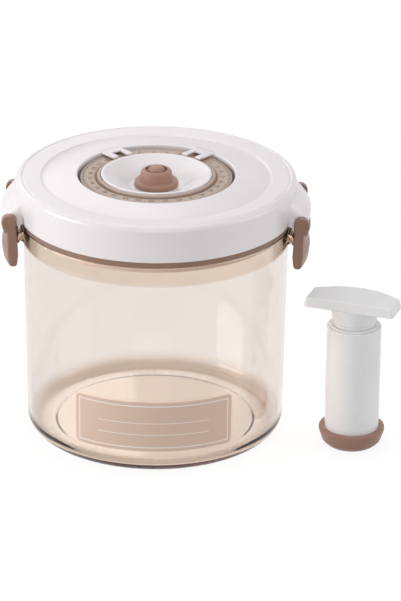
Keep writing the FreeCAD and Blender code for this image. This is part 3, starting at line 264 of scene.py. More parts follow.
class LatchSizes(bpy.types.PropertyGroup):
    """Sizes of the latch levers."""

    inner: length("Inner radius", 92.6, "Inner radius of the paddle")
    outer: length("Outer radius", 99.0, "Outer radius of the paddle")
    neck: length("Neck radius", 96.8, "Outer radius at the neck")
    shank: length("Shank radius", 99.2, "Outer radius of a cheek under its head")
    shank_height: length("Shank height", 143.2, "Height of a cheek's waist")
    shank_round: length("Shank rounding", 3.0, "Rounding of a cheek's waist")
    brow: length("Brow radius", 99.5, "Outer radius of the brow")
    top: length("Top", 144.0, "Height of the paddle's top")
    crown_round: length("Crown rounding", 0.8, "Rounding of the paddle's top")
    brow_height: length("Brow height", 141.6, "Height of the brow")
    brow_round: length("Brow rounding", 1.6, "Rounding of the brow")
    back_round: length("Back rounding", 0.6, "Rounding of the paddle's inner upper edge")
    neck_height: length("Neck height", 135.5, "Height of the neck")
    neck_round: length("Neck rounding", 6.0, "Rounding of the neck")
    belly_height: length("Belly height", 129.0, "Height of the belly")
    belly_round: length("Belly rounding", 8.0, "Rounding of the belly")
    palm_round: length("Palm rounding", 3.0, "Rounding of the inner side at the belly")
    tip_inset: length("Tip inset", 0.9, "Taper of the tip")
    tip_round: length("Tip rounding", 2.3, "Rounding of the tip")
    cheek: length("Cheek", 5.0, "Thickness of an end cheek")
    head_from: angle("Head start", -24.0, "Angle where a cheek's round head starts on the outer side")
    head_to: angle("Head end", 202.0, "Angle where it ends on the inner side")
    edge: length("Edge", 0.9, "Rounding of the cheeks' outer edge")
    hook_radius: length("Hook radius", 88.2, "Radius of the hook's tip")
    hook_top: length("Hook top", 134.1, "Height of the hook's top")
    hook_drop: length("Hook drop", 0.85, "Fall of the hook to its tip")
    hook_height: length("Hook height", 2.2, "Height of the hook's tip")
    hook_root: length("Hook root", 5.5, "Height of the hook's root")
    hook_heel: length("Hook heel", 0.5, "Rounding under the hook's tip")
    hook_nose: length("Hook nose", 0.3, "Rounding over the hook's tip")
    hook_land: length("Hook land", 0.2, "Rounding where the hook's top starts to fall")
    hook_angle: angle("Hook angle", 20.0, "Angle that the hook spans")


class PumpSizes(bpy.types.PropertyGroup):
    """Sizes of the hand pump."""

    wall: length("Wall", 2.2, "Wall of the barrel")
    bottom: length("Bottom", 3.0, "Thickness of the barrel's bottom")
    intake: length("Intake", 3.0, "Radius of the intake hole")
    rim_round: length("Rim rounding", 1.1, "Rounding of the barrel's rim")
    cup_foot: length("Cup foot", 15.5, "Radius that the cup stands on")
    cup_mouth: length("Cup mouth", 10.0, "Radius of the cup's mouth below")
    cup_wall: length("Cup wall", 1.4, "Wall of the cup round the barrel")
    cup_lip: length("Cup lip", 2.4, "Thickness of the cup's lip")
    mouth_edge: length("Mouth edge", 0.5, "Rounding of the cup's mouth below")
    foot_edge: length("Foot edge", 1.4, "Rounding of the cup's foot")
    flare_round: length("Flare rounding", 5.0, "Rounding where the cup flares out")
    belly_edge: length("Belly edge", 3.0, "Rounding under the cup's lip")
    lip_edge: length("Lip edge", 1.1, "Rounding over the cup's lip")
    sleeve_edge: length("Sleeve edge", 0.7, "Rounding of the cup's inner upper edge")
    seat_edge: length("Seat edge", 0.4, "Rounding of the cup's seat and of the cap's lower edge")
    fit: length("Fit", 0.05, "Room between barrel, cup and cap")
    cap_lap: length("Cap lap", 0.5, "Overlap of the cap on the rim")
    cap_edge: length("Cap edge", 0.2, "Rounding of the cap's small edges")
    cap_round: length("Cap rounding", 0.6, "Rounding of the cap's upper rim")
    rod_room: length("Rod room", 4.1, "Radius of the rod's guide in the cap")
    rod_grip: length("Rod grip", 10.0, "Length of the rod held in the boss")
    neck: length("Neck radius", 13.8, "Radius of the handle's lower neck")
    neck_height: length("Neck height", 2.4, "Height of the lower neck")
    boss_low: length("Boss foot", 14.4, "Radius at the foot of the handle's boss")
    boss: length("Boss radius", 15.5, "Radius at the top of the handle's boss")
    boss_round: length("Boss rounding", 0.5, "Rounding of the boss")
    plate_length: length("Plate length", 60.0, "Length of the grip plate")
    plate_width: length("Plate width", 31.0, "Width of the grip plate")
    plate_thick: length("Plate thickness", 6.0, "Thickness of the grip plate")
    plate_bow: length("Plate bow", 10.5, "Bow of the grip plate's back edge")
    plate_sweep: length("Plate sweep", 30.0, "Rounding along the bowed edge")
    plate_corner: length("Plate corner", 2.8, "Rounding of the grip plate's corners")
    plate_draft: angle("Plate draft", 12.0, "Inward slope of the grip plate's sides")
    plate_round: length("Plate rounding", 1.2, "Rounding of the grip plate's upper rim")
    yaw: angle("Yaw", -19.0, "Turn of the handle about the pump's axis")


class FinishColours(bpy.types.PropertyGroup):
    """Colours of the finishes."""

    clear: colour("Clear wall", (0.95, 0.93, 0.915), "Clear plastic of the wall")
    foot: colour("Foot", (0.54, 0.435, 0.355), "Tint of the thick ring of the foot")
    tan: colour("Clear collar", (0.83, 0.735, 0.65), "Clear plastic of collar, floor and lower wall")
    depth: colour("Clear depth", (0.80, 0.67, 0.57), "What thick clear plastic lets through")
    white: colour("White", (0.82, 0.775, 0.792), "White moulding")
    pump: colour("Pump", (0.805, 0.805, 0.82), "White moulding of the pump")
    dial: colour("Dial", (0.45, 0.34, 0.28), "Taupe dial")
    lever: colour("Lever", (0.27, 0.145, 0.10), "Taupe levers")
    gasket: colour("Gasket", (0.26, 0.155, 0.105), "Gasket silicone")
    valve: colour("Valve", (0.35, 0.195, 0.14), "Valve silicone")
    cup: colour("Cup", (0.30, 0.165, 0.125), "Pump cup silicone")
    label: colour("Label", (0.68, 0.50, 0.40), "Label film")
    print: colour("Print", (0.84, 0.80, 0.77), "Lines printed on the label")
    steel: colour("Steel", (0.60, 0.60, 0.61), "Pins, clip, screw and spring")
    floor: colour("Floor", (0.75, 0.75, 0.75), "Studio floor")


class StageSettings(bpy.types.PropertyGroup):
    """The camera and how bright the studio looks."""

    lens: amount("Lens", 231.5, "Focal length in millimetres on a sensor 36 mm wide")
    distance: length("Distance", 2500.0, "Distance of the camera from what it looks at")
    lift: angle("Lift", 23.5, "How far the camera looks down")
    roll: angle("Roll", 0.6, "Turn of the camera about its line of sight")
    glow: amount("Glow", 1.12, "Strength of the floor's own white")
    cover: amount("Cover", 0.78, "Share of that white over the floor's shadows")
    fill: amount("Fill", 0.12, "Even light of the world on the object")


def rounded(corners, steps=6):
    """Closed outline with an arc at each corner.

    A corner that turns by t with radius r starts its arc r tan(t/2) before it. The arc's point at
    turn a lies r sin a further along the incoming side and r (1 - cos a) to the turning side.
    """
    corners = np.asarray(corners, float)
    place = corners[:, :2]
    radius = corners[:, 2:3]
    come = place - np.roll(place, 1, axis=0)
    come /= np.linalg.norm(come, axis=1, keepdims=True)
    leave = np.roll(come, -1, axis=0)
    left = np.stack((-come[:, 1], come[:, 0]), axis=1)
    turn = np.arctan2((left * leave).sum(1), (come * leave).sum(1))[:, None]
    start = place - come * radius * np.tan(np.abs(turn) / 2)
    part = np.abs(turn) * np.linspace(0.0, 1.0, steps + 1)
    along = (radius * np.sin(part))[..., None] * come[:, None]
    aside = (radius * (1 - np.cos(part)))[..., None] * (left * np.sign(turn))[:, None]
    return (start[:, None] + along + aside).reshape(-1, 2)


def inset(ring, depth):
    """A closed outline moved inwards by a depth, along the normal between each point's neighbours."""
    run = np.roll(ring, -1, axis=0) - np.roll(ring, 1, axis=0)
    run /= np.maximum(np.linalg.norm(run, axis=1, keepdims=True), 1e-12)
    area = np.sum(ring[:, 0] * np.roll(ring[:, 1], -1) - ring[:, 1] * np.roll(ring[:, 0], -1))
    return ring + np.sign(area) * depth * np.stack((-run[:, 1], run[:, 0]), axis=1)


def spun(outline, turns, sweep=TURN):
    """Grid of an outline turned about Z: radius r and height z at angle a go to (r cos a, r sin a, z)."""
    whole = sweep >= TURN
    turn = np.linspace(-sweep / 2, sweep / 2, turns, endpoint=not whole)[:, None]
    radius, height = outline[:, 0], outline[:, 1]
    level = np.broadcast_to(height, (turns, len(height)))
    return np.stack((radius * np.cos(turn), radius * np.sin(turn), level), axis=-1)


def strip(outlines, across):
    """Grid of outlines set side by side along Y and bent round Z.

    Outline k at distance y across has its radius r moved to x = sqrt(r^2 - y^2), at its height z.
    """
    across = np.asarray(across)[:, None]
    reach = np.sqrt(outlines[..., 0] ** 2 - across**2)
    return np.stack((reach, np.broadcast_to(across, reach.shape), outlines[..., 1]), axis=-1)


def eased(steps=5):
    """Depth and rise, from 0 to 1, along a quarter arc: 1 - cos t and sin t."""
    turn = np.linspace(0.0, math.pi / 2, steps)
    return 1 - np.cos(turn), np.sin(turn)


def slab(ring, low, top, edge, foot, lean=0.0, steps=5):
    """Grid of a flat outline pushed up from low to top, with both rims rounded by quarter arcs.

    The sides move in by the lean on their way up.
    """
    depth, rise = eased(steps)
    insets = np.concatenate((foot * depth[::-1], lean + edge * depth))
    heights = np.concatenate((low + foot * (1 - rise[::-1]), top - edge + edge * rise))
    rings = np.stack([inset(ring, move) for move in insets])
    level = np.broadcast_to(heights[:, None, None], (*rings.shape[:2], 1))
    return np.concatenate((rings, level), axis=-1)


def turned(points, about):
    """Points turned about Z by an angle."""
    cosine, sine = math.cos(about), math.sin(about)
    return points @ np.array(((cosine, sine, 0), (-sine, cosine, 0), (0, 0, 1)))


def both_sides(right):
    """A grid on the right and the same half a turn round, on the left."""
    return [right, turned(right, math.pi)]


def skin(name, grids, wrap_rows=True, wrap_columns=True, caps=False):
    """A mesh object from point grids, with a quad between neighbours both ways.

    wrap joins the last row or column to the first, and caps closes the first and last rows.
    """
    points, faces, used = [], [], 0
    for grid in grids:
        rows, columns = grid.shape[:2]
        index = np.arange(rows * columns).reshape(rows, columns) + used
        if caps:
            faces += [index[0].tolist(), index[-1, ::-1].tolist()]
        if wrap_rows:
            index = np.vstack((index, index[:1]))
        if wrap_columns:
            index = np.hstack((index, index[:, :1]))
        quads = np.stack((index[:-1, :-1], index[1:, :-1], index[1:, 1:], index[:-1, 1:]), axis=-1)
        faces += quads.reshape(-1, 4).tolist()
        points.append(grid.reshape(-1, 3))
        used += rows * columns
    return meshed(name, np.concatenate(points), faces)


def lathe(name, corners, turns, steps=6, centre=(0.0, 0.0, 0.0)):
    """A mesh object of a rounded outline turned about the upright line through a centre."""
    return skin(name, [spun(rounded(corners, steps), turns) + centre])


def bars(name, grids):
    """A mesh object of grids whose columns close round and whose first and last rows have caps."""
    return skin(name, grids, wrap_rows=False, caps=True)


def meshed(name, points, faces, crease=38.0):
    """An object of points and faces, its doubles merged, its faces turned out and its creases sharp."""
    mesh = bpy.data.meshes.new(name)
    mesh.from_pydata(points.tolist(), [], faces)
    work = bmesh.new()
    work.from_mesh(mesh)
    bmesh.ops.remove_doubles(work, verts=work.verts, dist=1e-6)
    bmesh.ops.dissolve_degenerate(work, edges=work.edges, dist=1e-6)
    bmesh.ops.recalc_face_normals(work, faces=work.faces)
    work.to_mesh(mesh)
    work.free()
    mesh.shade_smooth()
    mesh.set_sharp_from_angle(angle=math.radians(crease))
    thing = bpy.data.objects.new(name, mesh)
    placed(thing)
    weighted(thing)
    return thing


def placed(thing):
    """Put an object into the scene."""
    bpy.context.scene.collection.objects.link(thing)


def weighted(thing):
    """Shade an object by the size of its faces, up to its sharp creases."""
    thing.modifiers.new("face_weights", "WEIGHTED_NORMAL").keep_sharp = True


def points_of(mesh):
    """The points of a mesh as rows of an array."""
    flat = np.empty(len(mesh.vertices) * 3)
    mesh.vertices.foreach_get("co", flat)
    return flat.reshape(-1, 3)


def evaluated_scene():
    """The evaluated scene as it stands."""
    bpy.context.view_layer.update()
    return bpy.context.evaluated_depsgraph_get()


def dress(thing, body, slot, material, *nodes):
    """Give a piece its material, its body and the solids it stands for; the finish slot is not used."""
    thing.data.materials.append(material)
    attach(thing, body)
    if nodes:
        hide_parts(*nodes)


class Wires:
    """Short hand for adding and joining nodes in one tree."""

    def __init__(self, tree):
        self.tree = tree

    def add(self, kind, values=None, **settings):
        """A node with its settings, and with inputs fed from values by name or number."""
        node = self.tree.nodes.new(f"ShaderNode{kind}")
        for name, value in settings.items():
            setattr(node, name, value)
        self.fill(node, values or {})
        return node

    def fill(self, node, values):
        """Feed inputs of a node, by name or number, from sockets or plain values."""
        for name, value in values.items():
            self.feed(node.inputs[name], value)

    def feed(self, socket, value):
        """Join a socket to an input, or set the input to a plain value."""
        if isinstance(value, bpy.types.NodeSocket):
            self.tree.links.new(value, socket)
        else:
            socket.default_value = value

    def maths(self, operation, *values):
        """A Math node on sockets or plain numbers."""
        return self.add("Math", dict(enumerate(values)), operation=operation).outputs[0]

    def ramp(self, value, low, high, out_low=0.0, out_high=1.0, smooth=False):
        """A Map Range node from low..high to out_low..out_high."""
        ends = {"Value": value, "From Min": low, "From Max": high, "To Min": out_low, "To Max": out_high}
        node = self.add("MapRange", ends, interpolation_type="SMOOTHSTEP" if smooth else "LINEAR")
        return node.outputs["Result"]

    def noise(self, vector, scale, detail=2.0, rough=0.5):
        """A Noise node on a vector."""
        values = {"Vector": vector, "Scale": scale, "Detail": detail, "Roughness": rough}
        return self.add("TexNoise", values).outputs["Fac"]

    def blend(self, share, first, second):
        """A mix, by a share, of a colour with a colour or a socket."""
        if not isinstance(second, bpy.types.NodeSocket):
            second = (*second, 1.0)
        values = {"Factor": share, "A": (*first, 1.0), "B": second}
        return self.add("Mix", values, data_type="RGBA").outputs["Result"]

    def place(self):
        """Object coordinates."""
        return self.add("TexCoord").outputs["Object"]

    def axes(self, vector):
        """The outputs X, Y and Z of a vector."""
        return self.add("SeparateXYZ", {"Vector": vector}).outputs

    def bump(self, surface, height, strength, distance):
        """Bump on a surface from a height, with its distance in millimetres."""
        values = {"Strength": strength, "Distance": distance * MM, "Height": height}
        self.feed(surface.inputs["Normal"], self.add("Bump", values).outputs["Normal"])


def group(name, inputs, outputs):
    """An empty node group with float inputs and outputs: its wires, its inputs and its far end."""
    tree = bpy.data.node_groups.new(name, "ShaderNodeTree")
    for label, default in inputs.items():
        socket = tree.interface.new_socket(label, in_out="INPUT", socket_type="NodeSocketFloat")
        socket.default_value = default
    for label in outputs:
        tree.interface.new_socket(label, in_out="OUTPUT", socket_type="NodeSocketFloat")
    start = tree.nodes.new("NodeGroupInput")
    return Wires(tree), start.outputs, tree.nodes.new("NodeGroupOutput")


def grouped(wires, maker, **inputs):
    """The outputs of a node group that is named as its maker and made on first use."""
    tree = bpy.data.node_groups.get(maker.__name__) or maker()
    return wires.add("Group", inputs, node_tree=tree).outputs


def moulded_skin():
    """Moulded plastic: Height is fine mould grain, Shade is slow colour flow, Scuff is hair marks."""
    wires, start, end = group("moulded_skin", {"Grain": 900.0}, ("Height", "Shade", "Scuff"))
    place = wires.place()
    flow = wires.noise(place, 22.0, detail=3.0)
    turn = {"Vector": place, "Scale": (1.0, 1.0, 0.2), "Rotation": (0.3, 0.5, 0.2)}
    stretch = wires.add("Mapping", turn).outputs["Vector"]
    marks = wires.noise(stretch, 260.0, detail=4.0, rough=0.7)
    results = {
        "Height": wires.noise(place, start["Grain"]),
        "Shade": wires.ramp(flow, 0.3, 0.7, smooth=True),
        "Scuff": wires.ramp(marks, 0.56, 0.86, smooth=True),
    }
    wires.fill(end, results)
    return wires.tree


def soft_bloom():
    """Silicone: Height is a fine matt skin, Bloom is dust on faces that look up, Shade is slow flow."""
    wires, start, end = group("soft_bloom", {"Grain": 1600.0}, ("Height", "Bloom", "Shade"))
    place = wires.place()
    facing = wires.axes(wires.add("NewGeometry").outputs["Normal"])
    upward = wires.ramp(facing["Z"], 0.1, 1.0, smooth=True)
    specks = wires.ramp(wires.noise(place, 420.0, detail=4.0, rough=0.65), 0.4, 0.7)
    results = {
        "Height": wires.noise(place, start["Grain"], detail=3.0),
        "Bloom": wires.maths("MULTIPLY", upward, specks),
        "Shade": wires.ramp(wires.noise(place, 60.0, detail=3.0), 0.3, 0.7),
    }
    wires.fill(end, results)
    return wires.tree


def height_bands():
    """Bands of the clear body: Wall is 1 between foot and collar, and Thin is 0 in the foot's ring."""
    sizes = {"Foot": 0.012, "Collar": 0.1305, "Ring": 0.07}
    wires, start, end = group("height_bands", sizes, ("Wall", "Thin"))
    place = wires.place()
    level = wires.axes(place)["Z"]
    lift = wires.maths("SUBTRACT", level, start["Foot"])
    above = wires.ramp(lift, -0.006, 0.004, smooth=True)
    below = wires.ramp(wires.maths("SUBTRACT", start["Collar"], level), -0.0004, 0.0004, smooth=True)
    flat = wires.add("VectorMath", {0: place, 1: (1.0, 1.0, 0.0)}, operation="MULTIPLY")
    reach = wires.add("VectorMath", {0: flat.outputs["Vector"]}, operation="LENGTH").outputs["Value"]
    inner = wires.ramp(wires.maths("SUBTRACT", start["Ring"], reach), -0.004, 0.004, smooth=True)
    rise = wires.ramp(lift, -0.009, -0.001, smooth=True)
    results = {
        "Wall": wires.maths("MULTIPLY", above, below),
        "Thin": wires.maths("MAXIMUM", rise, inner),
    }
    wires.fill(end, results)
    return wires.tree


def ruled_panel():
    """Label print on UV in metres: Line is a thin frame set in from the edge, and two ruled lines."""
    spans = {"Width": 0.1, "Height": 0.034, "Inset": 0.0026, "Margin": 0.016}
    strokes = {"Stroke": 0.00035, "Rule": 0.00022}
    wires, start, end = group("ruled_panel", spans | strokes, ("Line",))
    across = wires.axes(wires.add("UVMap").outputs["UV"])
    sides = []
    for axis, span in (("X", "Width"), ("Y", "Height")):
        far = wires.maths("SUBTRACT", start[span], across[axis])
        sides.append(wires.maths("MINIMUM", across[axis], far))
    edge = wires.maths("SUBTRACT", wires.maths("MINIMUM", *sides), start["Inset"])
    line = wires.maths("LESS_THAN", wires.maths("ABSOLUTE", edge), start["Stroke"])
    inside = wires.maths("GREATER_THAN", sides[0], start["Margin"])
    for height in (0.0115, 0.0195):
        level = wires.maths("ABSOLUTE", wires.maths("SUBTRACT", across["Y"], height))
        rule = wires.maths("MULTIPLY", wires.maths("LESS_THAN", level, start["Rule"]), inside)
        line = wires.maths("MAXIMUM", line, rule)
    wires.fill(end, {"Line": line})
    return wires.tree


def cleared(owner):
    """Wires for the emptied node tree of a material or a world."""
    owner.use_nodes = True
    owner.node_tree.nodes.clear()
    return Wires(owner.node_tree)


def blank(name):
    """A material, its wires, and its Principled node, which is joined to the output."""
    material = bpy.data.materials.new(name)
    wires = cleared(material)
    surface = wires.add("BsdfPrincipled")
    wires.add("OutputMaterial", {"Surface": surface.outputs["BSDF"]})
    return material, wires, surface


def moulding(name, tint, gloss, wear, grain, depth, warm):
    """Opaque moulded plastic with flow in its colour and faint scuffs.

    gloss is its roughness, wear is what scuffs add to it, grain and depth are the fineness and the
    strength of its mould grain, and warm is what its tint is multiplied by where the flow is dark.
    """
    material, wires, surface = blank(name)
    made = grouped(wires, moulded_skin, Grain=grain)
    values = {
        "Base Color": wires.blend(made["Shade"], tint * warm, tint),
        "Roughness": wires.ramp(made["Scuff"], 0.0, 1.0, gloss, gloss + wear),
        "IOR": 1.5,
    }
    wires.fill(surface, values)
    wires.bump(surface, made["Height"], depth, 0.1)
    return material


def silicone(name, tint):
    """Soft matt silicone with a pale bloom on its upper faces."""
    material, wires, surface = blank(name)
    made = grouped(wires, soft_bloom)
    body = wires.blend(made["Shade"], tint * 0.94, tint * 1.04)
    bare = wires.ramp(made["Bloom"], 0.0, 1.0, 1.0, 0.72)
    values = {
        "Base Color": wires.blend(bare, np.minimum(tint * 1.25, 1), body),
        "Roughness": wires.ramp(made["Bloom"], 0.0, 1.0, 0.46, 0.62),
        "IOR": 1.42,
        "Sheen Weight": 0.12,
    }
    wires.fill(surface, values)
    wires.bump(surface, made["Height"], 0.25, 0.1)
    return material


def drawn_steel(name, tint):
    """Drawn steel: metal whose fine lines run along Z."""
    material, wires, surface = blank(name)
    draw = wires.add("Mapping", {"Vector": wires.place(), "Scale": (1.0, 1.0, 0.06)})
    lines = wires.noise(draw.outputs["Vector"], 2600.0, detail=3.0)
    values = {
        "Base Color": wires.blend(lines, tint * 0.85, tint),
        "Roughness": wires.ramp(lines, 0.3, 0.7, 0.2, 0.36),
        "Metallic": 1.0,
    }
    wires.fill(surface, values)
    wires.bump(surface, lines, 0.15, 0.05)
    return material


# Finishes that several pieces share: how they are made, which colour they take and their settings.
POLISHED = {"gloss": 0.25, "wear": 0.02, "grain": 700.0, "depth": 0.04}
SATIN = {"wear": 0.07, "depth": 0.12}
FINISHES = {
    "white_moulding": (moulding, "white", POLISHED | {"warm": (0.97, 0.965, 0.96)}),
    "pump_moulding": (moulding, "pump", POLISHED | {"warm": (0.97, 0.97, 0.97)}),
    "lever_satin": (moulding, "lever", SATIN | {"gloss": 0.36, "grain": 1100.0, "warm": (0.93, 0.92, 0.91)}),
    "dial_satin": (moulding, "dial", SATIN | {"gloss": 0.4, "grain": 1200.0, "warm": (0.95, 0.94, 0.93)}),
    "gasket_silicone": (silicone, "gasket", {}),
    "valve_silicone": (silicone, "valve", {}),
    "cup_silicone": (silicone, "cup", {}),
    "bright_steel": (drawn_steel, "steel", {}),
}


def finish(context, name):
    """The material of a shared finish, made on first use."""
    maker, tint, settings = FINISHES[name]
    tint = np.array(getattr(context.scene.canister_colours, tint))
    return bpy.data.materials.get(name) or maker(name, tint, **settings)


def clear_plastic(colours):
    """Clear tan plastic: polished, tinted by depth inside, and open to light from the lamps."""
    material, wires, surface = blank("clear_shell")
    made = grouped(wires, moulded_skin, Grain=140.0)
    bands = grouped(wires, height_bands)
    tint = np.array(colours.clear)
    wall = wires.blend(made["Shade"], tint * 0.985, tint)
    sides = wires.blend(bands["Wall"], colours.tan, wall)
    values = {
        "Base Color": wires.blend(bands["Thin"], colours.foot, sides),
        "Roughness": wires.ramp(made["Scuff"], 0.0, 1.0, 0.035, 0.11),
        "Transmission Weight": 1.0,
        "IOR": 1.49,
    }
    wires.fill(surface, values)
    wires.bump(surface, made["Height"], 0.02, 0.2)
    film = wires.add("BsdfTransparent", {"Color": (0.94, 0.932, 0.928, 1.0)})
    shadow = wires.add("LightPath").outputs["Is Shadow Ray"]
    mix = wires.add("MixShader", {"Fac": shadow, 1: surface.outputs["BSDF"], 2: film.outputs["BSDF"]})
    depth = wires.add("VolumeAbsorption", {"Color": (*colours.depth, 1.0), "Density": 62.0})
    output = wires.tree.get_output_node("ALL")
    wires.fill(output, {"Surface": mix.outputs["Shader"], "Volume": depth.outputs["Volume"]})
    return material


def label_film(colours, width, height):
    """Matt printed film with a thin frame and ruled lines."""
    material, wires, surface = blank("label_film")
    made = grouped(wires, moulded_skin, Grain=1500.0)
    lines = grouped(wires, ruled_panel, Width=width, Height=height)
    tint = np.array(colours.label)
    ground = wires.blend(made["Shade"], tint * 0.97, tint)
    plain = wires.maths("SUBTRACT", 1.0, lines["Line"])
    values = {
        "Base Color": wires.blend(plain, colours.print, ground),
        "Roughness": wires.ramp(made["Scuff"], 0.0, 1.0, 0.42, 0.55),
    }
    wires.fill(surface, values)
    wires.bump(surface, made["Height"], 0.1, 0.05)
    return material


class CANISTER_OT_body(bpy.types.Operator):
    """Make the clear body and its two catch lugs"""

    bl_idname = "canister.body"
    bl_label = "Clear body"

    def execute(self, context):
        sizes = context.scene.canister_sizes
        material = clear_plastic(context.scene.canister_colours)
        collar_low = RIM_HEIGHT - sizes.collar_height
        ring_inner = sizes.foot_radius - sizes.foot_round - sizes.foot_width
        floor_top = sizes.hollow + sizes.floor
        edge = sizes.collar_round
        corners = (
            (0, sizes.hollow, 0),
            (ring_inner - sizes.hollow, sizes.hollow, edge),
            (ring_inner, 0, edge / 2),
            (sizes.foot_radius, 0, sizes.foot_round),
            (sizes.body_radius, collar_low, edge / 2),
            (COLLAR_RADIUS, collar_low, edge / 2),
            (COLLAR_RADIUS, RIM_HEIGHT, edge),
            (sizes.mouth_radius, RIM_HEIGHT, edge),
            (sizes.mouth_radius, collar_low, edge),
            (sizes.foot_radius - sizes.wall, floor_top, sizes.floor_round),
            (0, floor_top, 0),
        )
        shell = lathe("canister_shell", corners, LARGE, steps=8)
        dress(shell, "container", "clear_tan", material, "canister_body")
        root = COLLAR_RADIUS + sizes.lug_room
        reach = LUG_RADIUS - COLLAR_RADIUS
        lug = (
            (root, sizes.lug_low - sizes.lug_slope * reach, 0),
            (LUG_RADIUS, sizes.lug_low, sizes.lug_round),
            (LUG_RADIUS, sizes.lug_top - reach / 2, sizes.lug_round * 2),
            (root, sizes.lug_top, 0),
        )
        lugs = bars("catch_lugs", both_sides(spun(rounded(lug), turns=24, sweep=sizes.lug_angle)))
        dress(lugs, "container", "clear_tan", material)
        return {"FINISHED"}


class CANISTER_OT_label(bpy.types.Operator):
    """Make the film label on the front"""

    bl_idname = "canister.label"
    bl_label = "Front label"

    def execute(self, context):
        sizes = context.scene.canister_sizes
        height = LABEL_TOP - LABEL_LOW
        # Heights lie closer together near the lower and upper edge, where the corners are.
        rise = np.linspace(0.0, 1.0, 9) ** 2 / 2
        level = LABEL_LOW + height * np.concatenate((rise, 1 - rise[-2::-1]))
        grid, radius = self.film(sizes, level)
        film = bars("front_film", [grid])
        half = sizes.label_angle / 2 * radius
        self.print_map(film.data, half)
        material = label_film(context.scene.canister_colours, 2 * half, height)
        dress(film, "container", "taupe_label", material, "front_label")
        return {"FINISHED"}

    def film(self, sizes, level, steps=73):
        """The film at each height, an arc out and back shortened near the corners, and its mean radius.

        At a distance d inside the upper or lower edge, with corner radius c, each end is drawn in by
        c - sqrt(c^2 - (c - d)^2) while d is less than c.
        """
        slope = (sizes.body_radius - sizes.foot_radius) / (RIM_HEIGHT - sizes.collar_height)
        radius = sizes.foot_radius + slope * level + sizes.label_gap
        corner = sizes.label_corner
        inside = np.minimum(np.minimum(level - level[0], level[-1] - level), corner)
        drawn = corner - np.sqrt(corner**2 - (corner - inside) ** 2)
        half = sizes.label_angle / 2 - drawn / radius
        across = np.linspace(-1.0, 1.0, steps)
        turn = half[:, None] * np.concatenate((across, across[::-1])) - math.pi / 2
        outwards = np.repeat((sizes.label_film, 0.0), steps)
        reach = radius[:, None] + outwards
        height = np.broadcast_to(level[:, None], turn.shape)
        return np.stack((reach * np.cos(turn), reach * np.sin(turn), height), axis=-1), float(radius.mean())

    def print_map(self, mesh, half):
        """UV in metres: arc length from the left end, and height above the lower edge."""
        points = points_of(mesh)
        corners = np.empty(len(mesh.loops), int)
        mesh.loops.foreach_get("vertex_index", corners)
        turn = np.arctan2(points[:, 0], -points[:, 1])
        radius = np.hypot(points[:, 0], points[:, 1])
        flat = np.stack((turn * radius + half, points[:, 2] - LABEL_LOW), axis=1)
        layer = mesh.uv_layers.new(name="print")
        layer.data.foreach_set("uv", flat[corners].astype(np.float32).ravel())


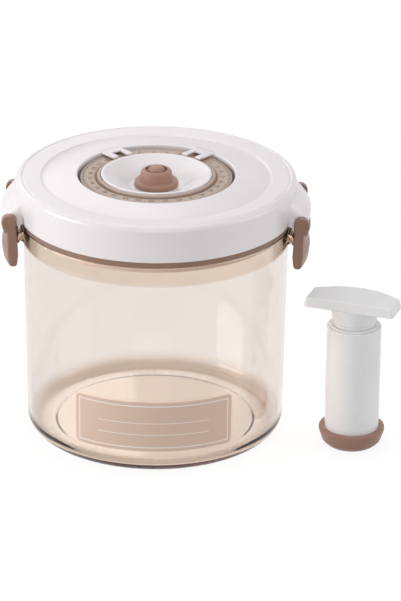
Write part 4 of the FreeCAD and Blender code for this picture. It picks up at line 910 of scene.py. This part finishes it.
class CANISTER_OT_lid(bpy.types.Operator):
    """Make the white lid cover with its ears and pointer tabs"""

    bl_idname = "canister.lid"
    bl_label = "Lid cover"

    def execute(self, context):
        sizes = context.scene.lid_sizes
        material = finish(context, "white_moulding")
        soft = sizes.soft_edge
        bore = sizes.skirt_radius - sizes.skirt_wall
        bead_top = SKIRT_LOW + sizes.flange_lift - sizes.bead_room
        bead = bore - sizes.bead
        wall = sizes.wall
        outer = sizes.recess + sizes.recess_wall
        recess_low = DIAL_LOW - sizes.recess_drop
        rim_edge = sizes.rim_top - sizes.rim_dip
        corners = (
            (sizes.recess, sizes.deck, soft * 2),
            (sizes.plateau, sizes.plateau_height, sizes.deck_round),
            (sizes.step, sizes.step_height, soft),
            (sizes.rim_inner, rim_edge, soft),
            (sizes.groove - sizes.groove_half, sizes.rim_top, soft * 2),
            (sizes.groove, sizes.rim_top - sizes.groove_depth, soft),
            (sizes.groove + sizes.groove_half, sizes.rim_top, soft),
            (sizes.radius, sizes.rim_top, sizes.rim_round - sizes.groove_half * 2),
            (sizes.skirt_radius, SKIRT_LOW, soft * 1.4),
            (bore, SKIRT_LOW, soft / 2),
            (bore, SKIRT_LOW + sizes.bead_room, 0),
            (bead, bead_top - sizes.bead_face, 0),
            (bead, bead_top, 0),
            (bore, bead_top, 0),
            (sizes.radius - sizes.skirt_wall, sizes.rim_top - sizes.rim_round, soft),
            (sizes.crest, sizes.rim_top - wall, soft),
            (sizes.rim_inner, rim_edge - wall, soft / 2),
            (sizes.step, sizes.step_height - wall, soft / 2),
            (sizes.plateau, sizes.plateau_height - wall, soft),
            (outer, sizes.deck - wall, soft / 2),
            (outer, recess_low, 0),
            (sizes.recess, recess_low, 0),
        )
        pieces = (
            (lathe("lid_shell", corners, WIDEST, steps=8), "lid_cover"),
            (bars("latch_ears", self.ears(sizes)),),
            (bars("pointer_tabs", self.tabs(sizes)),),
        )
        for piece, *nodes in pieces:
            dress(piece, "lid", "white_gloss", material, *nodes)
        return {"FINISHED"}

    def ears(self, sizes):
        """Two bent strips whose outline is the ear's nose.

        Towards both ends the outline shrinks to its root along a quarter arc.
        """
        middle = PIVOT_X + sizes.ear_reach / 2
        nose = PIVOT_X + sizes.ear_reach
        root = sizes.skirt_wall / 2
        soft = sizes.ear_round
        corners = (
            (sizes.radius - root, sizes.ear_top, 0),
            (middle, PIVOT_Z + sizes.ear_shoulder, soft),
            (nose, PIVOT_Z + sizes.ear_nose, soft),
            (nose, PIVOT_Z - sizes.ear_nose, soft),
            (middle, PIVOT_Z - sizes.ear_shoulder, soft),
            (sizes.skirt_radius - root, SKIRT_LOW, 0),
        )
        depth, rise = eased(steps=7)
        edge = sizes.ear_end
        flank = sizes.ear_half - edge + edge * rise
        between = np.linspace(-flank[0], flank[0], 17)[1:-1]
        across = np.concatenate((-flank[::-1], between, flank))
        drawn = np.concatenate((depth[::-1], 0 * between, depth)) * edge / (nose - sizes.skirt_radius)
        anchor = np.array((sizes.skirt_radius - root, PIVOT_Z))
        outlines = anchor + (rounded(corners) - anchor) * (1 - drawn[:, None, None])
        return both_sides(strip(outlines, across))

    def tabs(self, sizes):
        """Two notched slabs that bridge the dial, either side of the back, and bend down to the deck."""
        near = sizes.tab_reach
        deep = near + sizes.notch
        far = sizes.recess + sizes.recess_wall
        half, gap, soft = sizes.tab_half, sizes.notch_half, sizes.tab_corner
        corners = (
            (near, -half, soft),
            (far, -half, 0),
            (far, half, 0),
            (near, half, soft),
            (near, gap, soft),
            (deep, gap, soft),
            (deep, -gap, soft),
            (near, -gap, soft),
        )
        flat = slab(rounded(corners), TAB_TOP - sizes.tab_thick, TAB_TOP, sizes.tab_edge, sizes.tab_foot)
        past = np.maximum(flat[..., 0] - (far - sizes.tab_bend), 0) / sizes.tab_bend
        flat[..., 2] -= past * (TAB_TOP - sizes.deck - sizes.tab_lift)
        back = math.pi / 2
        return [turned(flat, back + sizes.tab_angle), turned(flat, back - sizes.tab_angle)]


class CANISTER_OT_base(bpy.types.Operator):
    """Make the lid's pressure wall with the pump dish and vents, and the gasket"""

    bl_idname = "canister.base"
    bl_label = "Lid base and gasket"

    def execute(self, context):
        sizes = context.scene.lid_sizes
        soft = sizes.soft_edge
        wall = sizes.wall
        under = DISH_FLOOR - wall
        ledge_low = DIAL_LOW - wall
        flange_low = SKIRT_LOW + sizes.flange_lift
        flange_top = flange_low + sizes.flange
        plug_bore = sizes.plug_radius - sizes.plug_wall
        bowl = sizes.dish_radius - sizes.dish_rim
        slope = (bowl - sizes.dish_floor) / (DISH_TOP - DISH_FLOOR)
        wedge = sizes.dish_floor + slope * (ledge_low - under)
        corners = (
            (sizes.stem_bore, DISH_FLOOR, soft / 2),
            (sizes.dish_floor, DISH_FLOOR, soft * 4),
            (bowl, DISH_TOP, soft * 1.4),
            (sizes.dish_radius, DISH_TOP, soft),
            (sizes.dish_radius, DIAL_LOW, 0),
            (sizes.ledge, DIAL_LOW, soft),
            (sizes.drum_foot, flange_top, soft),
            (FLANGE_RADIUS, flange_top, soft),
            (FLANGE_RADIUS, flange_low, 0),
            (sizes.seat_radius, flange_low, 0),
            (sizes.seat_radius, SKIRT_LOW, 0),
            (sizes.plug_radius, SKIRT_LOW, 0),
            (sizes.plug_radius, PLUG_LOW, soft * 1.6),
            (plug_bore, PLUG_LOW, soft),
            (plug_bore, flange_low, soft * 2),
            (sizes.drum_foot - wall, flange_low, soft * 2),
            (sizes.ledge - wall, ledge_low, soft * 2),
            (wedge, ledge_low, soft * 2),
            (sizes.dish_floor, under, soft * 2),
            (sizes.stem_bore, under, 0),
        )
        base = lathe("lid_dish", corners, LARGE, steps=8)
        self.vent(base, sizes)
        dress(base, "lid", "white_gloss", finish(context, "white_moulding"), "lid_base")
        bore = sizes.plug_radius + sizes.gasket_room
        gasket = (
            (bore, RIM_HEIGHT, 0),
            (GASKET_RADIUS, RIM_HEIGHT, sizes.gasket_round),
            (GASKET_RADIUS, SKIRT_LOW, sizes.gasket_round),
            (bore, SKIRT_LOW, 0),
        )
        ring = lathe("gasket_ring", gasket, LARGE)
        dress(ring, "lid", "taupe_silicone", finish(context, "gasket_silicone"), "lid_gasket")
        return {"FINISHED"}

    def vent(self, base, sizes, sides=24):
        """Cut the ring of vent holes: cylinders at even angles, taken out of the floor."""
        circle = np.linspace(0.0, TURN, sides, endpoint=False)
        rim = np.stack((np.cos(circle), np.sin(circle)), axis=1) * sizes.vent
        level = np.array((DISH_FLOOR - 2 * sizes.wall, DISH_FLOOR + sizes.wall))
        height = np.broadcast_to(level[:, None, None], (2, sides, 1))
        rods = []
        for turn in np.linspace(0.0, TURN, sizes.vents, endpoint=False):
            ring = rim + sizes.vent_circle * np.array((math.cos(turn), math.sin(turn)))
            rods.append(np.concatenate((np.broadcast_to(ring, (2, *ring.shape)), height), axis=-1))
        cutter = bars("vent_rods", rods)
        cut = base.modifiers.new("vents", "BOOLEAN")
        cut.operation = "DIFFERENCE"
        cut.solver = "EXACT"
        cut.object = cutter
        spent = (base.data, cutter.data)
        base.data = bpy.data.meshes.new_from_object(base.evaluated_get(evaluated_scene()))
        base.modifiers.clear()
        weighted(base)
        bpy.data.objects.remove(cutter)
        for mesh in spent:
            bpy.data.meshes.remove(mesh)


class CANISTER_OT_dial(bpy.types.Operator):
    """Make the date dial with its ticks and numbers"""

    bl_idname = "canister.dial"
    bl_label = "Date dial"

    def execute(self, context):
        sizes = context.scene.dial_sizes
        band = DIAL_LOW + sizes.band
        edge = sizes.edge
        corners = (
            (sizes.bore, DIAL_LOW, 0),
            (DIAL_RADIUS, DIAL_LOW, edge / 2),
            (DIAL_RADIUS, band, edge),
            (sizes.lip + sizes.lip_groove, band, edge / 2),
            (sizes.lip - sizes.lip_lean, band - sizes.lip_groove, edge / 2),
            (sizes.lip + sizes.lip_lean, LIP_TOP, edge * 1.6),
            (sizes.bore, LIP_TOP, edge * 1.6),
        )
        marks = np.linspace(0.0, TURN, sizes.days * sizes.day_ticks, endpoint=False)
        bar = self.tick(sizes, band)
        pieces = (
            (lathe("date_ring", corners, LARGE), "dial_ring"),
            (bars("day_ticks", [turned(bar, turn) for turn in marks]),),
            (self.numbers(sizes, band, marks[:: sizes.day_ticks]),),
        )
        for piece, *nodes in pieces:
            dress(piece, "dial", "taupe_satin", finish(context, "dial_satin"), *nodes)
        return {"FINISHED"}

    def tick(self, sizes, band):
        """A low bar along X, of few faces because it is repeated."""
        outer = DIAL_RADIUS - sizes.tick_margin
        inner = outer - sizes.tick_length
        half = sizes.tick_half
        corners = (
            (inner, -half, half / 2),
            (outer, -half, half / 2),
            (outer, half, half / 2),
            (inner, half, half / 2),
        )
        low, top = band - sizes.relief, band + sizes.relief
        return slab(rounded(corners, 1), low, top, sizes.tick_edge, sizes.tick_foot, steps=2)

    def numbers(self, sizes, band, angles):
        """One mesh of all the numbers, each turned to read from outside the dial."""
        points, faces, used = [], [], 0
        for day, turn in enumerate(angles, start=1):
            curve = bpy.data.curves.new("day", "FONT")
            curve.body = str(day)
            curve.size = sizes.number_size
            curve.extrude = sizes.relief
            curve.align_x = "CENTER"
            curve.align_y = "CENTER"
            curve.resolution_u = 3
            thing = bpy.data.objects.new("day", curve)
            mesh = bpy.data.meshes.new_from_object(thing)
            flat = points_of(mesh) + (0.0, -sizes.number_radius, band)
            points.append(turned(flat, turn + math.pi / 2))
            faces += [[corner + used for corner in face.vertices] for face in mesh.polygons]
            used += len(flat)
            bpy.data.objects.remove(thing)
            bpy.data.curves.remove(curve)
            bpy.data.meshes.remove(mesh)
        return meshed("day_numbers", np.concatenate(points), faces)


class CANISTER_OT_valve(bpy.types.Operator):
    """Make the valve boot, the release button and its spring"""

    bl_idname = "canister.valve"
    bl_label = "Valve"

    def execute(self, context):
        sizes = context.scene.dial_sizes
        material = finish(context, "valve_silicone")
        flap = DISH_FLOOR + sizes.flap_height
        mouth_low = BOOT_TOP - sizes.mouth_depth
        edge = sizes.valve_edge
        boot = (
            (sizes.cavity, DISH_FLOOR, 0),
            (FLAP_RADIUS, DISH_FLOOR, edge),
            (FLAP_RADIUS, flap, sizes.flap_round),
            (sizes.boot_radius, flap, edge * 3),
            (sizes.boot_top, BOOT_TOP, sizes.boot_round),
            (sizes.mouth, BOOT_TOP, edge),
            (sizes.mouth, mouth_low, 0),
            (sizes.cavity, mouth_low, 0),
        )
        cover = lathe("boot_dome", boot, MIDDLE, steps=8)
        dress(cover, "lid", "taupe_silicone", material, "valve_boot")
        flange_top = mouth_low - sizes.button_room
        flange_low = flange_top - sizes.button_flange
        button = (
            (0, BUTTON_LOW, 0),
            (sizes.stem, BUTTON_LOW, edge),
            (sizes.stem, flange_low, 0),
            (BUTTON_FLANGE, flange_low, edge),
            (BUTTON_FLANGE, flange_top, edge),
            (sizes.button, flange_top, 0),
            (sizes.button, BUTTON_TOP, sizes.button_round),
            (0, BUTTON_TOP, 0),
        )
        press = lathe("button_dome", button, SMALL, steps=10)
        dress(press, "button", "taupe_silicone", material, "release_button")
        coil = bars("spring_coil", [self.spring(sizes)])
        dress(coil, "lid", "steel", finish(context, "bright_steel"), "release_spring")
        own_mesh(coil)
        return {"FINISHED"}

    def spring(self, sizes, turn_steps=32, wire_steps=12):
        """A wire on a helix under the button.

        At turn t the wire's middle is at (r cos a, r sin a) with a = 2 pi t, and its height grows with t.
        Its circle is spanned by the outward direction and the one across outward and forward.
        """
        half = sizes.spring_wire / 2
        radius = SPRING_TOP.y - half
        turn = np.linspace(0.0, sizes.spring_turns, sizes.spring_turns * turn_steps + 1)[:, None]
        around = np.linspace(0.0, TURN, wire_steps, endpoint=False)[:, None]
        low, top = SPRING_LOW.z + half, SPRING_TOP.z - half
        rise = (top - low) / sizes.spring_turns
        cosine, sine = np.cos(TURN * turn), np.sin(TURN * turn)
        outward = np.hstack((cosine, sine, 0 * turn))
        middle = radius * outward + np.hstack((0 * turn, 0 * turn, low + rise * turn))
        forward = np.hstack((-sine, cosine, 0 * turn + rise / (TURN * radius)))
        across = np.cross(outward, forward)
        across /= np.linalg.norm(across, axis=1, keepdims=True)
        circle = np.cos(around) * outward[:, None] + np.sin(around) * across[:, None]
        return middle[:, None] + half * circle


class CANISTER_OT_latches(bpy.types.Operator):
    """Make both latch levers with their hooks"""

    bl_idname = "canister.latches"
    bl_label = "Latch levers"

    def execute(self, context):
        sizes = context.scene.latch_sizes
        material = finish(context, "lever_satin")
        levers = both_sides(self.lever(sizes))
        hooks = both_sides(self.hook(sizes))
        for side, lever, hook in zip(("right", "left"), levers, hooks):
            paddle = bars(f"{side}_paddle", [lever])
            dress(paddle, f"{side}_latch", "taupe_satin", material, f"{side}_latch_lever")
            claw = bars(f"{side}_hook", [hook])
            dress(claw, f"{side}_latch", "taupe_satin", material)
        return {"FINISHED"}

    def lever(self, sizes, steps=6):
        """The paddle's outline bent round Z, whose upper part becomes a round head in the cheeks.

        In a cheek the points of brow, top and back lie on the head's circle about the pin, at even angles
        from the outer side over the top to the inner side.
        """
        first, last = 4 * (steps + 1), 7 * (steps + 1)
        around = np.linspace(sizes.head_from, sizes.head_to, last - first)
        head = np.stack((np.cos(around), np.sin(around)), axis=1) * HEAD_RADIUS + (PIVOT_X, PIVOT_Z)
        grip = self.section(
            sizes,
            (sizes.neck, sizes.neck_height, sizes.neck_round),
            (sizes.brow, sizes.brow_height, sizes.brow_round),
            ((PIVOT_X + sizes.brow) / 2, sizes.top, sizes.crown_round),
            (sizes.inner, sizes.brow_height, sizes.back_round),
            steps,
        )
        shank = self.section(
            sizes,
            (sizes.shank, sizes.shank_height, sizes.shank_round),
            (math.hypot(head[0, 0], LEVER_HALF), head[0, 1], 0),
            (PIVOT_X, PIVOT_Z + HEAD_RADIUS, 0),
            (sizes.inner, PIVOT_Z, 0),
            steps,
        )
        inner_face = LEVER_HALF - sizes.cheek
        depth, rise = eased()
        flank = LEVER_HALF - sizes.edge + sizes.edge * rise
        cheek = np.concatenate(((inner_face,), flank))
        cheek_insets = np.concatenate(((0.0,), depth)) * sizes.edge
        middle = np.linspace(-inner_face, inner_face, 21)
        across = np.concatenate((-cheek[::-1], middle, cheek))
        insets = np.concatenate((cheek_insets[::-1], 0 * middle, cheek_insets))
        heads = np.r_[0 : len(cheek), len(across) - len(cheek) : len(across)]
        outlines = np.repeat(grip[None], len(across), axis=0)
        outlines[heads] = shank
        grid = strip(outlines, across)
        grid[heads, first:last, 0] = head[:, 0]
        grid[heads, first:last, 2] = head[:, 1]
        for row in heads:
            grid[row][:, ::2] = inset(grid[row][:, ::2], insets[row])
        return grid

    def section(self, sizes, neck, brow, top, back, steps):
        """Outline of the paddle: its tip and belly, and the four upper corners that it is given."""
        corners = (
            (sizes.inner + sizes.tip_inset, LEVER_LOW, sizes.tip_round),
            (sizes.outer - sizes.tip_inset, LEVER_LOW, sizes.tip_round),
            (sizes.outer, sizes.belly_height, sizes.belly_round),
            neck,
            brow,
            top,
            back,
            (sizes.inner, sizes.belly_height, sizes.palm_round),
        )
        return rounded(corners, steps)

    def hook(self, sizes):
        """The hook's outline turned through a short arc."""
        root = sizes.inner + sizes.tip_inset
        tip = sizes.hook_top - sizes.hook_drop
        corners = (
            (root, sizes.hook_top - sizes.hook_root, 0),
            (sizes.hook_radius, tip - sizes.hook_height, sizes.hook_heel),
            (sizes.hook_radius, tip, sizes.hook_nose),
            (LUG_RADIUS, sizes.hook_top, sizes.hook_land),
            (root, sizes.hook_top, 0),
        )
        return spun(rounded(corners), turns=16, sweep=sizes.hook_angle)


class CANISTER_OT_pump(bpy.types.Operator):
    """Make the pump's barrel, cup and guide cap"""

    bl_idname = "canister.pump"
    bl_label = "Pump barrel"

    def execute(self, context):
        sizes = context.scene.pump_sizes
        bore = BARREL_RADIUS - sizes.wall
        low, top = BARREL_LOW.z, BARREL_TOP.z
        inside = low + sizes.bottom
        barrel = (
            (sizes.intake, low, 0),
            (BARREL_RADIUS, low, 0),
            (BARREL_RADIUS, top, sizes.rim_round),
            (bore, top, sizes.rim_round / 2),
            (bore, inside, sizes.rim_round),
            (sizes.intake, inside, 0),
        )
        tube = lathe("barrel_tube", barrel, MIDDLE, centre=PUMP_FOOT)
        dress(tube, "pump", "white_gloss", finish(context, "pump_moulding"), "pump_barrel")
        sleeve = BARREL_RADIUS + sizes.fit
        cup = (
            (sizes.cup_mouth, 0, sizes.mouth_edge),
            (sizes.cup_foot, 0, sizes.foot_edge),
            (sleeve + sizes.cup_wall, low, sizes.flare_round),
            (CUP_RADIUS, CUP_TOP - sizes.cup_lip, sizes.belly_edge),
            (CUP_RADIUS, CUP_TOP, sizes.lip_edge),
            (sleeve, CUP_TOP, sizes.sleeve_edge),
            (sleeve, low, 0),
            (sizes.cup_mouth, low, sizes.seat_edge),
        )
        bowl = lathe("cup_bowl", cup, MIDDLE, steps=8, centre=PUMP_FOOT)
        dress(bowl, "pump", "taupe_silicone", finish(context, "cup_silicone"), "pump_cup")
        plug = bore - sizes.fit
        cap = (
            (sizes.rod_room, CAP_LOW, 0),
            (plug, CAP_LOW, sizes.seat_edge),
            (plug, top, 0),
            (bore + sizes.cap_lap, top, sizes.cap_edge),
            (bore + sizes.cap_lap, CAP_TOP, sizes.cap_round),
            (sizes.rod_room, CAP_TOP, sizes.cap_edge),
        )
        guide = lathe("guide_cap", cap, SMALL, centre=PUMP_FOOT)
        dress(guide, "pump", "white_gloss", finish(context, "pump_moulding"), "pump_cap")
        return {"FINISHED"}


class CANISTER_OT_handle(bpy.types.Operator):
    """Make the pump's handle: grip plate, boss and neck"""

    bl_idname = "canister.handle"
    bl_label = "Pump handle"

    def execute(self, context):
        sizes = context.scene.pump_sizes
        boss_low = CAP_TOP + sizes.neck_height
        plate_low = HANDLE_TOP - sizes.plate_thick
        grip_top = boss_low + sizes.rod_grip
        hold = sizes.rod_room - sizes.fit
        soft = sizes.boss_round
        boss = (
            (hold, CAP_TOP, 0),
            (sizes.neck, CAP_TOP, soft),
            (sizes.neck, boss_low, soft),
            (sizes.boss_low, boss_low, soft),
            (sizes.boss, plate_low, soft),
            (0, plate_low, 0),
            (0, grip_top, 0),
            (hold, grip_top, 0),
        )
        half, side = sizes.plate_length / 2, sizes.plate_width / 2
        bowed = side - sizes.plate_bow
        shoulder = side - sizes.plate_bow / 4
        outline = (
            (-half, -side, sizes.plate_corner),
            (half, -side, sizes.plate_corner),
            (half, bowed, sizes.plate_corner),
            (half / 2, shoulder, sizes.plate_sweep),
            (0, side, sizes.plate_sweep),
            (-half / 2, shoulder, sizes.plate_sweep),
            (-half, bowed, sizes.plate_corner),
        )
        lean = sizes.plate_thick * math.tan(sizes.plate_draft)
        plate = slab(rounded(outline), plate_low, HANDLE_TOP, sizes.plate_round, soft, lean)
        grip = bars("grip_plate", [turned(plate, sizes.yaw) + PUMP_FOOT])
        dress(grip, "plunger", "white_gloss", finish(context, "pump_moulding"), "pump_handle")
        neck = lathe("handle_boss", boss, MIDDLE, centre=PUMP_FOOT)
        dress(neck, "plunger", "white_gloss", finish(context, "pump_moulding"))
        return {"FINISHED"}


class CANISTER_OT_hardware(bpy.types.Operator):
    """Finish the solids that stay as they are: pins, clip, seals, rod and piston"""

    bl_idname = "canister.hardware"
    bl_label = "Inner hardware"

    finishes = {
        "bright_steel": ("release_clip", "right_latch_pin", "left_latch_pin", "piston_screw"),
        "valve_silicone": ("release_seal", "intake_flap", "piston_ring"),
        "pump_moulding": ("pump_rod", "pump_piston"),
    }

    def execute(self, context):
        for name, solids in self.finishes.items():
            for solid in solids:
                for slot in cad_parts[solid].material_slots:
                    slot.material = finish(context, name)
        return {"FINISHED"}


class CANISTER_OT_stage(bpy.types.Operator):
    """Make the floor, the lights and the camera"""

    bl_idname = "canister.stage"
    bl_label = "Studio"

    # Square lamps: place in metres, width in metres and power in watts.
    lamps = {
        "key_panel": ((-2.1, -0.5, 0.5), 1.2, 35.0),
        "top_panel": ((0.1, 0.1, 1.9), 1.8, 15.0),
        "right_panel": ((2.0, -0.2, 0.8), 1.4, 13.0),
        "front_panel": ((0.2, -2.0, 1.0), 1.4, 13.0),
        "back_panel": ((-0.6, 1.6, 1.4), 1.4, 9.0),
    }
    lamp_aim = Vector((0.02, 0.0, 0.1))
    camera_aim = Vector((0.029, 0.0, 0.085))

    def execute(self, context):
        scene = context.scene
        scene.view_settings.view_transform = "Standard"
        self.floor(scene)
        self.world(scene)
        for name, (place, width, power) in self.lamps.items():
            self.lamp(name, place, width, power)
        self.camera(scene)
        return {"FINISHED"}

    def floor(self, scene, reach=4.0, rows=9):
        """A level square whose material keeps shadows but shows nearly white to the eye."""
        line = np.linspace(-reach, reach, rows)
        grid = np.stack((*np.meshgrid(line, line), np.zeros((rows, rows))), axis=-1)
        sheet = skin("studio_floor", [grid], wrap_rows=False, wrap_columns=False)
        sheet.modifiers.clear()
        material = bpy.data.materials.new("studio_floor")
        wires = cleared(material)
        tint = np.array(scene.canister_colours.floor)
        shade = wires.blend(wires.noise(wires.place(), 1.5), tint * 0.99, tint)
        paint = wires.add("BsdfDiffuse", {"Color": shade})
        glow = wires.add("Emission", {"Strength": scene.stage_settings.glow})
        share = wires.maths("MULTIPLY", self.seen(wires), scene.stage_settings.cover)
        mix = wires.add("MixShader", {"Fac": share, 1: paint.outputs["BSDF"], 2: glow.outputs["Emission"]})
        wires.add("OutputMaterial", {"Surface": mix.outputs["Shader"]})
        sheet.data.materials.append(material)

    def seen(self, wires):
        """1 for rays from the camera, from gloss and through clear pieces."""
        path = wires.add("LightPath").outputs
        both = wires.maths("MAXIMUM", path["Is Camera Ray"], path["Is Glossy Ray"])
        return wires.maths("MAXIMUM", both, path["Is Transmission Ray"])

    def world(self, scene):
        """White to the eye, and a dimmer even light on the object."""
        world = bpy.data.worlds.new("studio")
        wires = cleared(world)
        strength = wires.ramp(self.seen(wires), 0.0, 1.0, scene.stage_settings.fill, 1.0)
        sky = wires.add("Background", {"Strength": strength, "Color": (1.0, 1.0, 1.0, 1.0)})
        wires.add("OutputWorld", {"Surface": sky.outputs["Background"]})
        scene.world = world

    def lamp(self, name, place, width, power):
        """A square soft light that looks at the canister."""
        light = bpy.data.lights.new(name, "AREA")
        light.size = width
        light.energy = power
        thing = bpy.data.objects.new(name, light)
        thing.location = place
        thing.rotation_euler = (self.lamp_aim - thing.location).to_track_quat("-Z", "Y").to_euler()
        placed(thing)

    def camera(self, scene):
        """A long lens from the front, a little above, rolled as the photograph is."""
        settings = scene.stage_settings
        lens = bpy.data.cameras.new("photo_camera")
        lens.sensor_width = 36.0
        lens.lens = settings.lens
        thing = bpy.data.objects.new("photo_camera", lens)
        back = Vector((0.0, -math.cos(settings.lift), math.sin(settings.lift)))
        look = (-back).to_track_quat("-Z", "Y").to_matrix().to_4x4()
        roll = Matrix.Rotation(settings.roll, 4, "Z")
        spot = Matrix.Translation(self.camera_aim + back * settings.distance)
        thing.matrix_world = spot @ look @ roll
        placed(thing)
        scene.camera = thing


OPERATORS = (
    CANISTER_OT_body,
    CANISTER_OT_label,
    CANISTER_OT_lid,
    CANISTER_OT_base,
    CANISTER_OT_dial,
    CANISTER_OT_valve,
    CANISTER_OT_latches,
    CANISTER_OT_pump,
    CANISTER_OT_handle,
    CANISTER_OT_hardware,
    CANISTER_OT_stage,
)
GROUPS = {
    "canister_sizes": CanisterSizes,
    "lid_sizes": LidSizes,
    "dial_sizes": DialSizes,
    "latch_sizes": LatchSizes,
    "pump_sizes": PumpSizes,
    "canister_colours": FinishColours,
    "stage_settings": StageSettings,
}


class CANISTER_PT_panel(bpy.types.Panel):
    """Lists the pieces and their sizes"""

    bl_idname = "CANISTER_PT_panel"
    bl_label = "Vacuum canister"
    bl_space_type = "VIEW_3D"
    bl_region_type = "UI"
    bl_category = "Canister"

    def draw(self, context):
        for maker in OPERATORS:
            self.layout.operator(maker.bl_idname)
        for name, kind in GROUPS.items():
            column = self.layout.column(align=True)
            for setting in kind.__annotations__:
                column.prop(getattr(context.scene, name), setting)


def register():
    """Register the classes and hang the sizes on the scene."""
    for kind in (*GROUPS.values(), *OPERATORS, CANISTER_PT_panel):
        bpy.utils.register_class(kind)
    for name, kind in GROUPS.items():
        setattr(bpy.types.Scene, name, bpy.props.PointerProperty(type=kind))


def unregister():
    """Take the sizes off the scene and the classes out."""
    for name in GROUPS:
        delattr(bpy.types.Scene, name)
    for kind in (CANISTER_PT_panel, *OPERATORS, *GROUPS.values()):
        bpy.utils.unregister_class(kind)


def main():
    """Make every piece in order."""
    register()
    for maker in OPERATORS:
        family, name = maker.bl_idname.split(".")
        getattr(getattr(bpy.ops, family), name)()
    evaluated_scene()


if __name__ == "__main__":
    main()
